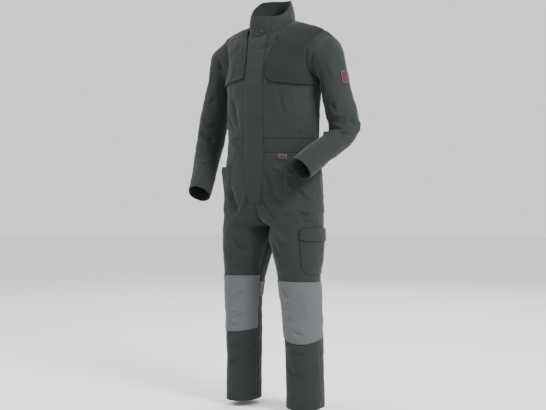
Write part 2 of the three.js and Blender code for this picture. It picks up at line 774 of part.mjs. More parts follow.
// Thigh pocket on the left, with its flap, over the outseam
const CARGO = { from: 6 / 16, to: 10 / 16, top: -766, bottom: -926, deep: 6 };
addCloth("cargo_pocket", leg[1].round, {
  columns: 8,
  rows: 8,
  region: legRegion(leg[1].round, CARGO.from, CARGO.to, () => CARGO.top, () => CARGO.bottom),
  lift: (s, t) => LAID_ON + PATCH_CLEAR + puff(s, t, CARGO.deep),
});
addCloth("cargo_flap", leg[1].round, {
  columns: 8,
  rows: 3,
  region: legRegion(
    leg[1].round,
    CARGO.from - 0.004,
    CARGO.to + 0.004,
    () => CARGO.top + 7,
    (s) => CARGO.top - 31 - 8 * ease(Math.sin(Math.PI * s) * 2),
  ),
  lift: (s, t) => 2 * LAID_ON + 2 * PATCH_CLEAR + puff(s, t * 0.24, CARGO.deep),
});

// Hip pockets, which gape a little at the top
const HIP_POCKET = { from: 3 / 16, to: 10 / 16, top: -534, bottom: -716 };
const HIP_CLEAR = 1.1;
const HIP_GAPE = { 1: 4, "-1": 16 };
for (const side of [1, -1]) {
  addCloth(`hip_pocket_${sideName[side]}`, leg[side].round, {
    columns: 7,
    rows: 8,
    region: legRegion(
      leg[side].round,
      HIP_POCKET.from,
      HIP_POCKET.to,
      () => HIP_POCKET.top,
      () => HIP_POCKET.bottom,
    ),
    lift: (s, t) => LAID_ON + PATCH_CLEAR + HIP_CLEAR
      + HIP_GAPE[side] * Math.sin(Math.PI * s) ** 2 * (1 - ease(t * 1.4)),
  });
}

// Narrow rule pocket behind the outseam of the right thigh
addCloth("rule_pocket", leg[-1].round, {
  columns: 4,
  rows: 8,
  region: legRegion(leg[-1].round, 8.5 / 16, 10.5 / 16, () => -734, () => -926),
  lift: (s, t) => LAID_ON + PATCH_CLEAR + puff(s, t, 5),
});

// Plain label under the waistband and plain patch on the left sleeve
addCloth("waist_label", leg[1].front, {
  columns: 2,
  rows: 1,
  looks: TAG_CLOTH,
  thick: TRIM,
  lift: () => LAID_ON,
  region: (s, t) => place(leg[1].front, mix(93, 121, s), mix(-491, -507, t)),
});

const PATCH = { u: 0.02, v: 0.22, du: 0.044, dv: 0.025 };
addCloth("sleeve_patch", sleeve[1], {
  columns: 4,
  rows: 4,
  looks: TAG_CLOTH,
  thick: TRIM,
  lift: () => LAID_ON + 2 * PATCH_CLEAR,
  region: (s, t) => [
    PATCH.u + PATCH.du * (2 * s - 1),
    PATCH.v + PATCH.dv * (2 * t - 1),
  ],
});

// Snap on the collar end of the placket
const { point: snapFoot, normal: snapNormal } = onFront(SNAP_AT.x, SNAP_AT.z);
const snap = new THREE.Mesh(
  new THREE.CylinderGeometry(SNAP_RADIUS, SNAP_RADIUS + 0.4, SNAP_HEIGHT, 20),
  new THREE.MeshStandardMaterial(SNAP_PAINT),
);
const snapLift = LAID_ON + placketClear(SNAP_AT.z) + CLOTH + 0.5 + SNAP_HEIGHT / 2;
snap.name = "collar_snap";
snap.quaternion.setFromUnitVectors(vec(0, 1, 0), snapNormal);
snap.position.copy(snapFoot).addScaledVector(snapNormal, snapLift);
group.add(snap);

export default group;
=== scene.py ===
import math

import bmesh
import bpy
import numpy as np
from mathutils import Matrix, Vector, noise


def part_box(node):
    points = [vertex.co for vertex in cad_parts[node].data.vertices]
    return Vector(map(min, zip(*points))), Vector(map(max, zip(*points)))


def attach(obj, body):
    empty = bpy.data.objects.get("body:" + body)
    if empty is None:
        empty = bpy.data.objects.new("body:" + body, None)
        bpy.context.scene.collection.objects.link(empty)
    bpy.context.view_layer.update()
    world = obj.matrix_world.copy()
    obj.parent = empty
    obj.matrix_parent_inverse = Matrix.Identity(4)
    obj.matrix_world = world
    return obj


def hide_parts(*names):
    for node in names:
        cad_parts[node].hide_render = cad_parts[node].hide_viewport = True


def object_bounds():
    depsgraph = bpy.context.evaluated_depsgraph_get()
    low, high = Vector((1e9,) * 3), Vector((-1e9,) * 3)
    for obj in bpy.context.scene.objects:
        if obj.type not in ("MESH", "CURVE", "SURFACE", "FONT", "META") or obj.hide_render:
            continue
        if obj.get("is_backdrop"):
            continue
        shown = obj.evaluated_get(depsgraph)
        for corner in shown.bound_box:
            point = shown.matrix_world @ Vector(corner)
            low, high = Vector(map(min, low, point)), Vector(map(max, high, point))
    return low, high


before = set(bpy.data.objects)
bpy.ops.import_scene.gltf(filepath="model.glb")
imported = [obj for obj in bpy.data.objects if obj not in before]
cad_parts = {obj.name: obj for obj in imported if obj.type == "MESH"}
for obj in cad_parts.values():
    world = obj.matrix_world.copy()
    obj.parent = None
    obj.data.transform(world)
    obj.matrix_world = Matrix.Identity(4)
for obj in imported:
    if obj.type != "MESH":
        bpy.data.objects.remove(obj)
cad_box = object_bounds()

# A boiler suit in its worn form. Shapes are in millimetres, with +X to the
# wearer's left, -Y to the front and +Z up, and are made metres at the end.
MM = 0.001
CLOTH = 2
LAID_ON = 2.3
SHELL = 1.3
BAND_TOP = -436
BAND_BOTTOM = -486
HEM = -1413
FLOOR = -1.435

SIDES = {1: "left", -1: "right"}


# Camera of the photograph: degrees round to the wearer's left, metres, lens and
# sensor in millimetres, and the shift and the photograph's width in pixels.
CAMERA = {"turn": 35, "away": 3.6, "height": -0.62, "lens": 63.3, "sensor": 36, "shift": (-1, -15)}
PHOTO_WIDE = 546


def place_camera():
    """Level camera on a circle round the suit."""
    turn = math.radians(CAMERA["turn"])
    data = bpy.data.cameras.new("camera")
    data.lens = CAMERA["lens"]
    data.sensor_width = CAMERA["sensor"]
    data.shift_x, data.shift_y = (pixels / PHOTO_WIDE for pixels in CAMERA["shift"])
    camera = bpy.data.objects.new("camera", data)
    away = CAMERA["away"]
    camera.location = (away * math.sin(turn), -away * math.cos(turn), CAMERA["height"])
    camera.rotation_euler = (math.pi / 2, 0, turn)
    bpy.context.collection.objects.link(camera)
    bpy.context.scene.camera = camera


place_camera()

# Rows of the bodice, waist to shoulder, for the wearer's left: the point on
# the centre line or neckline, two curve handles, the point on the side seam
# or armhole.
FRONT_ROWS = [
    [(0, -122, -486), (104, -124, -486), (183, -62, -486), (183, 0, -486)],
    [(0, -123, -410), (104, -125, -410), (184, -62, -410), (184, 0, -410)],
    [(0, -125, -330), (106, -127, -330), (187, -62, -330), (187, 0, -330)],
    [(0, -124, -258), (108, -128, -258), (192, -66, -260), (192, 0, -262)],
    [(0, -119, -190), (104, -126, -196), (186, -82, -214), (198, -4, -222)],
    [(0, -109, -126), (74, -115, -140), (150, -98, -172), (182, -42, -190)],
    [(0, -95, -63), (58, -102, -82), (128, -90, -118), (174, -52, -148)],
    [(34, -88, -56), (80, -90, -68), (136, -80, -94), (178, -50, -118)],
    [(62, -64, -40), (100, -68, -50), (150, -60, -70), (191, -38, -92)],
    [(79, -33, -18), (116, -38, -22), (166, -34, -40), (210, -20, -66)],
    [(82, -5, 0), (124, -4, -4), (184, -2, -20), (230, 0, -46)],
]

BACK_ROWS = [
    [(0, 112, -486), (98, 114, -486), (183, 62, -486), (183, 0, -486)],
    [(0, 112, -410), (98, 114, -410), (184, 62, -410), (184, 0, -410)],
    [(0, 118, -330), (100, 120, -330), (187, 64, -330), (187, 0, -330)],
    [(0, 124, -258), (104, 128, -258), (192, 68, -260), (192, 0, -262)],
    [(0, 126, -190), (106, 132, -194), (192, 84, -214), (198, 4, -222)],
    [(0, 120, -122), (80, 126, -132), (160, 106, -168), (188, 46, -190)],
    [(0, 104, -52), (72, 112, -64), (146, 102, -112), (184, 58, -150)],
    [(0, 70, 23), (46, 84, 10), (130, 92, -60), (188, 52, -118)],
    [(30, 66, 22), (72, 76, 6), (146, 76, -50), (198, 36, -92)],
    [(64, 44, 14), (104, 50, 6), (162, 48, -28), (214, 18, -66)],
    [(82, -5, 0), (124, -4, -4), (184, -2, -20), (230, 0, -46)],
]

# Rows of one trouser leg, waist down to the crotch point.
HIP_FRONT_ROWS = [
    [(0, -122, -486), (104, -124, -486), (183, -62, -486), (183, 0, -486)],
    [(0, -120, -560), (108, -124, -560), (192, -62, -560), (192, 4, -560)],
    [(0, -116, -630), (110, -124, -630), (195, -66, -630), (195, 6, -630)],
    [(0.4, -106, -690), (100, -128, -690), (195, -84, -690), (195, 6, -690)],
    [(1.6, -76, -734), (70, -138, -736), (195, -110, -736), (195, 4, -736)],
    [(3, -2, -758), (24, -132, -766), (196, -136, -768), (196, 0, -768)],
]

HIP_BACK_ROWS = [
    [(0, 112, -486), (98, 114, -486), (183, 62, -486), (183, 0, -486)],
    [(0, 124, -560), (102, 130, -560), (191, 64, -560), (192, 4, -560)],
    [(0, 134, -630), (104, 146, -630), (193, 72, -630), (195, 6, -630)],
    [(0.4, 128, -690), (92, 154, -690), (191, 90, -690), (195, 6, -690)],
    [(1.6, 92, -734), (62, 154, -736), (190, 112, -736), (195, 4, -736)],
    [(3, -2, -758), (24, 134, -766), (192, 132, -768), (196, 0, -768)],
]

# Below the crotch: height, inseam x, outseam x, y of both seams, and how far
# the cloth bows to the front and to the back of them.
LEG_ROWS = [
    (-800, 8, 195, -4, 98, 100),
    (-840, 20, 194, -10, 90, 94),
    (-890, 34, 193, -14, 82, 86),
    (-945, 47, 194, -15, 77, 80),
    (-1000, 56, 198, -15, 74, 75),
    (-1060, 62, 200, -13, 72, 72),
    (-1130, 67, 200, -9, 71, 73),
    (-1210, 71, 199, -5, 71, 74),
    (-1310, 74, 200, -2, 73, 75),
    (HEM, 76, 201, 0, 75, 76),
]

# Sleeve rings from the cap down: centre, direction of the arm, half the width
# out from the body, half the width front to back.
LEFT_SLEEVE_RINGS = [
    ((238, 5, -150), (0.9, 0, -0.44), 75, 60),
    ((253, 14, -214), (0.34, 0.14, -0.93), 49, 60),
    ((256, 34, -280), (0.1, 0.22, -0.98), 52, 59),
    ((262, 53, -338), (0.06, 0.18, -0.99), 54, 58),
    ((265, 64, -382), (0, -0.12, -0.99), 54, 56),
    ((263, 52, -418), (-0.14, -0.5, -0.86), 49, 50),
    ((254, 19, -446), (-0.22, -0.74, -0.64), 45, 46),
    ((239, -32, -477), (-0.23, -0.78, -0.59), 43, 45),
    ((222, -84, -513), (-0.24, -0.77, -0.59), 43, 45),
    ((205, -131, -547), (-0.25, -0.77, -0.59), 43, 44),
]

RIGHT_SLEEVE_RINGS = [
    ((238, 3, -150), (0.9, 0, -0.44), 75, 60),
    ((251, 6, -214), (0.36, 0.04, -0.93), 51, 60),
    ((273, 8, -285), (0.26, 0.03, -0.98), 54, 58),
    ((292, 8, -350), (0.16, -0.02, -0.99), 55, 57),
    ((302, 2, -410), (0.02, -0.16, -0.99), 53, 55),
    ((301, -16, -468), (-0.08, -0.36, -0.92), 50, 51),
    ((290, -46, -526), (-0.18, -0.5, -0.86), 46, 47),
    ((273, -84, -580), (-0.16, -0.6, -0.79), 43, 44),
    ((260, -125, -634), (-0.12, -0.64, -0.76), 41, 42),
]

# How far the suit stands fuller on its right side in front: height, amount.
FULLER_ROWS = [
    (-200, 0),
    (-300, 5),
    (-380, 9),
    (-486, 11),
    (-560, 12),
    (-900, 10),
    (-980, 3),
    (-1040, 0),
]

# Main folds: from, to, half width, height (a groove below zero).
FOLDS = [
    ((60, -125, -250), (84, -126, -430), 26, -3),
    ((150, -95, -300), (120, -110, -420), 30, 4),
    ((-80, -125, -250), (-110, -112, -430), 28, -4),
    ((-150, -95, -250), (-160, -80, -400), 30, 4),
    ((30, -120, -520), (110, -110, -700), 30, -5),
    ((150, -90, -590), (60, -120, -640), 24, 4),
    ((-40, -120, -700), (-150, -95, -600), 28, -4),
    ((-140, -90, -600), (-150, -95, -780), 26, -5),
    ((60, -110, -780), (90, -105, -900), 24, 4),
    ((-60, -110, -780), (-70, -105, -900), 30, -4),
    ((90, -90, -1190), (160, -85, -1215), 26, 4),
    ((-90, -90, -1180), (-165, -85, -1200), 26, 4),
    ((120, -80, -1250), (150, -75, -1390), 26, -4),
    ((-110, -80, -1230), (-130, -75, -1390), 26, -4),
    ((80, 125, -150), (120, 118, -400), 34, 5),
    ((-80, 125, -150), (-120, 118, -400), 34, 5),
    ((0, 125, -200), (0, 115, -420), 40, -4),
    ((60, 150, -640), (130, 100, -780), 30, 4),
    ((-60, 150, -640), (-130, 100, -780), 30, 4),
    ((300, 60, -330), (290, 0, -440), 24, 4),
    ((310, 90, -370), (262, 104, -430), 22, -4),
    ((212, 20, -400), (300, 10, -420), 20, -5),
    ((300, 10, -250), (306, 30, -330), 26, -4),
    ((-240, -48, -300), (-310, -40, -330), 24, -4),
    ((-250, -50, -430), (-320, -40, -400), 22, -5),
    ((-240, -60, -500), (-310, -60, -480), 22, 4),
]

# Placket over the zip: height, right edge, left edge.
PLACKET_ROWS = [
    (14, -33, 37),
    (-10, -34, 38),
    (-36, -36, 38),
    (-60, -38, 37),
    (-90, -41, 35),
    (-124, -40, 34),
    (-155, -38, 34),
    (-210, -40, 34),
    (-270, -41, 35),
    (-330, -41, 35),
    (-400, -40, 36),
    (-440, -40, 37),
    (-486, -40, 37),
    (-540, -38, 32),
    (-600, -35, 28),
    (-640, -33, 26),
    (-667, -31, 24),
]

# Chest flaps from the bottom edge up: inner edge x and z, place v of the outer
# edge on the armhole.
FLAP_ROWS = {
    1: [
        (70, -228, 0.352),
        (58, -217, 0.4),
        (48, -203, 0.46),
        (45, -178, 0.52),
        (49, -150, 0.58),
        (62, -120, 0.66),
        (76, -86, 0.75),
        (72, -52, 0.84),
        (80, -30, 0.92),
        (83, -5, 0.998),
    ],
    -1: [
        (52, -212, 0.372),
        (46, -205, 0.42),
        (45, -186, 0.48),
        (45, -160, 0.55),
        (45, -134, 0.62),
        (46, -106, 0.7),
        (50, -80, 0.78),
        (66, -50, 0.86),
        (79, -30, 0.93),
        (83, -5, 0.998),
    ],
}

COLLAR_RIM = {"x": 70, "y": 80, "centre": -18}

# Height of the collar rim every 30 degrees, from the front to the back.
RIM_HEIGHTS = {
    1: [[12], [12], [19], [44], [82], [94], [96]],
    -1: [[12], [12], [32], [67], [93], [98], [96]],
}

# How far each leg's seams stand out below the knee: inseam, outseam.
STANCE = {1: (2, 5), -1: (5, -5)}

# Direction in which the suit stands fuller on its right side.
FULLER = (-0.82, -0.57)

ELBOW_RING = 4
ARMPIT_OUT = 1.6

YOKE_SEAM = 0.5
NECK_START = 6 / (len(FRONT_ROWS) - 1)
NECK_BACK = 7 / (len(BACK_ROWS) - 1)
ARMPIT = 4 / (len(FRONT_ROWS) - 1)


def mix(a, b, t):
    return a + (b - a) * t


def ease(t):
    """Smooth run of values from 0 to 1."""
    x = np.clip(t, 0, 1)
    return x * x * (3 - 2 * x)


def points(x, y, z):
    return np.stack(np.broadcast_arrays(x, y, z), -1).astype(float)


def join_slope(a, b):
    """Slope that joins two steps without running past either of them."""
    same = a * b > 0
    return np.where(same, 2 * a * b / np.where(same, a + b, 1), 0)


def smooth_run(last, place, row):
    """Smooth values at places from 0 to last, where row(i) gives whole rows."""
    i = np.clip(np.floor(place).astype(int), 0, last - 1)
    t = (place - i)[..., None]
    a, b, c, d = (row(np.clip(i + k, 0, last)) for k in (-1, 0, 1, 2))
    step = c - b
    i = i[..., None]
    m0 = np.where(i > 0, join_slope(b - a, step), step)
    m1 = np.where(i < last - 1, join_slope(step, d - c), step)
    t2 = t * t
    t3 = t2 * t
    ends = (2 * t3 - 3 * t2 + 1) * b + (3 * t2 - 2 * t3) * c
    return ends + (t3 - 2 * t2 + t) * m0 + (t3 - t2) * m1


def between(table, place):
    """Smooth values between the rows of a table."""
    table = np.asarray(table, float)
    return smooth_run(len(table) - 1, place, lambda i: table[i])


def split(choice, makers, u, v):
    """Points of several surfaces, each where its own number is chosen."""
    out = np.zeros((*np.shape(u), 3))
    for number, maker in enumerate(makers):
        here = choice == number
        if here.any():
            out[here] = maker(u[here], v[here])
    return out


def fold_height(p):
    """Height of the main folds at points, along the cloth's normal."""
    height = np.zeros(p.shape[:-1])
    for start, end, wide, deep in FOLDS:
        start = np.array(start, float)
        run = np.array(end) - start
        t = np.clip((p - start) @ run / (run @ run), 0, 1)
        away = np.linalg.norm(p - start - t[..., None] * run, axis=-1) / wide
        taper = ease(np.minimum(t, 1 - t) * 4 + 0.25)
        height += deep * taper * np.exp(-away * away)
    return height


class Sheet:
    """A smooth surface over u and v from 0 to 1, with a side that faces out."""

    def __init__(self, base, inside, hold, closed=False):
        self.base = base
        self.hold = hold
        self.closed = closed
        u, v = np.array([0.3]), np.array([0.5])
        away = base(u, v) - np.array(inside(base(u, v)[0, 2]))
        self.sign = np.sign((self.crossing(base, u, v) * away).sum())

    def crossing(self, surface, u, v):
        h = 0.004
        low, high = (u - h, u + h) if self.closed else (np.maximum(u - h, 0), np.minimum(u + h, 1))
        across = surface(high, v) - surface(low, v)
        along = surface(u, np.minimum(v + h, 1)) - surface(u, np.maximum(v - h, 0))
        n = np.cross(across, along)
        return n / np.maximum(np.linalg.norm(n, axis=-1, keepdims=True), 1e-9)

    def at(self, u, v):
        p = self.base(u, v)
        n = self.crossing(self.base, u, v) * self.sign
        return p + n * (self.hold(u, v) * fold_height(p))[..., None]

    def normal(self, u, v):
        return self.crossing(self.at, u, v) * self.sign


def seam_hold(u, v):
    return ease(np.minimum(np.minimum(u, 1 - u), np.minimum(v, 1 - v)) * 10)


def stood_off(p):
    """Moves points out where the suit stands fuller on its right side."""
    heights, amounts = zip(*reversed(FULLER_ROWS))
    reach = np.sqrt(p[..., 0] ** 2 + p[..., 1] ** 2 + 1)
    facing = (p[..., 0] * FULLER[0] + p[..., 1] * FULLER[1]) / reach
    push = np.interp(p[..., 2], heights, amounts) * np.maximum(facing, 0) ** 4
    return p + push[..., None] * np.array([*FULLER, 0])


def row_base(rows, side):
    """Surface through rows of four curve points, on the left (1) or right (-1)."""
    flat = np.array([np.ravel(row) for row in rows], float)

    def base(u, v):
        row = between(flat, v * (len(flat) - 1)).reshape(*np.shape(u), 4, 3)
        w = 1 - u
        weights = np.stack([w ** 3, 3 * w * w * u, 3 * w * u * u, u ** 3], -1)
        p = (row * weights[..., None]).sum(-2)
        p[..., 0] *= side
        return stood_off(p)

    return base


def leg_row(row, face, side):
    """Curve points of half a loop round a leg, on its "front" or "back" face."""
    z, inner, outer, y = row[:4]
    bow = -row[4] if face == "front" else row[5]
    low = float(ease((-z - 800) / 140))
    far = y + bow * 4 / 3
    near = inner + low * STANCE[side][0]
    out = outer + low * STANCE[side][1]
    return [(near, y, z), (near, far, z), (out, far, z), (out, y, z)]


def doubled(first, second, inside):
    """Two sheets joined at the outseam: u runs over one and back on the other."""
    def base(u, v):
        choice = (u >= 0.5).astype(int)
        makers = [lambda a, b: first.base(2 * a, b), lambda a, b: second.base(2 - 2 * a, b)]
        return split(choice, makers, u, v)

    def hold(u, v):
        return seam_hold(np.where(u < 0.5, 2 * u, 2 - 2 * u), v)

    return Sheet(base, inside, hold)


def torso_core(z):
    return (0, 0, z)


def leg_core(side):
    return lambda z: (side * 115, -5, z)


bodice = {}
leg = {}
for side in SIDES:
    bodice[side] = {
        "front": Sheet(row_base(FRONT_ROWS, side), torso_core, seam_hold),
        "back": Sheet(row_base(BACK_ROWS, side), torso_core, seam_hold),
    }
    leg[side] = {}
    for face, hips in (("front", HIP_FRONT_ROWS), ("back", HIP_BACK_ROWS)):
        rows = [*hips, *(leg_row(row, face, side) for row in LEG_ROWS)]
        leg[side][face] = Sheet(row_base(rows, side), leg_core(side), seam_hold)
    leg[side]["round"] = doubled(leg[side]["front"], leg[side]["back"], leg_core(side))


def back_base(u, v):
    makers = [
        lambda a, b: bodice[1]["back"].base(1 - 2 * a, b),
        lambda a, b: bodice[-1]["back"].base(2 * a - 1, b),
    ]
    return split((u >= 0.5).astype(int), makers, u, v)


def yoke_base(s, t):
    """Back yoke round the neck, left shoulder seam to right, neckline out."""
    def half(side):
        def maker(a, b):
            w = 2 * a if side > 0 else 2 - 2 * a
            rim_u = np.where(w < 0.5, 1, 2 - 2 * w)
            rim_v = np.where(w < 0.5, mix(1, YOKE_SEAM, 2 * w), YOKE_SEAM)
            return bodice[side]["back"].base(rim_u * b, mix(mix(1, NECK_BACK, w), rim_v, b))
        return maker
    return split((s >= 0.5).astype(int), [half(1), half(-1)], s, t)


def v_at_height(base, u, z):
    """Place v of a height z on the line u."""
    u, z = (np.array(a, float) for a in np.broadcast_arrays(u, z))
    up = np.sign(base(u, np.ones_like(u))[..., 2] - base(u, np.zeros_like(u))[..., 2])
    low, high = np.zeros_like(u), np.ones_like(u)
    for _ in range(22):
        middle = (low + high) / 2
        short = (base(u, middle)[..., 2] - z) * up < 0
        low = np.where(short, middle, low)
        high = np.where(short, high, middle)
    return (low + high) / 2


def place(base, x, z):
    """Places u, v where a half sheet is x from the middle at height z."""
    x, z = (np.array(a, float) for a in np.broadcast_arrays(x, z))
    low, high = np.zeros_like(x), np.ones_like(x)
    for _ in range(16):
        u = (low + high) / 2
        short = np.abs(base(u, v_at_height(base, u, z))[..., 0]) < x
        low = np.where(short, u, low)
        high = np.where(short, high, u)
    u = (low + high) / 2
    return u, v_at_height(base, u, z)


band_v = float(v_at_height(bodice[1]["front"].base, 0.5, BAND_TOP))


def girdle_base(u, v):
    quarter = np.minimum(np.floor(u * 4).astype(int), 3)
    makers = [
        lambda a, b: bodice[1]["front"].base(a * 4, b * band_v),
        lambda a, b: bodice[1]["back"].base(2 - a * 4, b * band_v),
        lambda a, b: bodice[-1]["back"].base(a * 4 - 2, b * band_v),
        lambda a, b: bodice[-1]["front"].base(4 - a * 4, b * band_v),
    ]
    return split(quarter, makers, u, v)


def neckline(w, side):
    """Neckline, w from 0 at the front to 1 at the back, on one side."""
    makers = [
        lambda a, b: bodice[side]["front"].base(0 * a, mix(NECK_START, 1, a * 2)),
        lambda a, b: bodice[side]["back"].base(0 * a, mix(1, NECK_BACK, a * 2 - 1)),
    ]
    p = split((w >= 0.5).astype(int), makers, w, w)
    p[..., 2] += 0.9 + 2.4 * np.sin(math.pi * np.minimum(w, 0.5))
    return p


def collar_base(u, v):
    """Stand collar: up from the neckline, leaning in towards its rim."""
    def half(side):
        def maker(a, b):
            w = a * 2 if side > 0 else 2 - a * 2
            turn = math.pi * w
            rim = points(
                side * COLLAR_RIM["x"] * np.sin(turn),
                COLLAR_RIM["centre"] - COLLAR_RIM["y"] * np.cos(turn),
                between(RIM_HEIGHTS[side], w * 6)[..., 0],
            )
            out = points(side * np.sin(turn), -np.cos(turn), 0)
            swell = 5 * np.sin(math.pi * b) * np.sin(turn)
            return mix(neckline(w, side), rim, b[..., None]) + out * swell[..., None]
        return maker
    return split((u >= 0.5).astype(int), [half(1), half(-1)], u, v)


back_sheet = Sheet(back_base, torso_core, seam_hold)
yoke_sheet = Sheet(yoke_base, torso_core, seam_hold)
girdle = Sheet(girdle_base, torso_core, lambda u, v: np.ones_like(u))
collar_sheet = Sheet(collar_base, torso_core, lambda u, v: np.ones_like(u))


def armhole(turn, side):
    """Armhole, from the shoulder over the front, the armpit and the back."""
    w = np.where(turn < 0.5, turn * 2, 2 - turn * 2)
    makers = [
        lambda a, b: bodice[side]["front"].base(0 * a + 1, mix(1, ARMPIT, a)),
        lambda a, b: bodice[side]["back"].base(0 * a + 1, mix(1, ARMPIT, a)),
    ]
    p = split((turn >= 0.5).astype(int), makers, w, w)
    p[..., 0] += side * ARMPIT_OUT * np.sin(math.pi * turn) ** 3
    return p


def ring_points(ring, turn, side):
    """Points of a sleeve ring, from the outside over the front to the inside."""
    at, along, out, fore = ring
    arm = Vector(along).normalized()
    outward = (Vector((1, 0, 0)) - arm * arm.x).normalized()
    forward = outward.cross(arm).normalized()
    if forward.y > 0:
        forward.negate()
    angle = 2 * math.pi * turn[..., None]
    p = np.array(at) + np.array(outward) * out * np.cos(angle)
    p = p + np.array(forward) * fore * np.sin(angle)
    p[..., 0] *= side
    return p


def sleeve_sheet(rings, side):
    def base(u, v):
        turn = u - np.floor(u)
        loops = np.stack([armhole(turn, side), *(ring_points(ring, turn, side) for ring in rings)])

        def row(i):
            return np.take_along_axis(loops, i[None, ..., None].repeat(3, -1), 0)[0]

        return smooth_run(len(rings), v * len(rings), row)

    elbow = rings[ELBOW_RING][0]
    return Sheet(base, lambda z: (side * elbow[0], elbow[1], elbow[2]), lambda u, v: ease(v * 8), True)


sleeve = {1: sleeve_sheet(LEFT_SLEEVE_RINGS, 1), -1: sleeve_sheet(RIGHT_SLEEVE_RINGS, -1)}

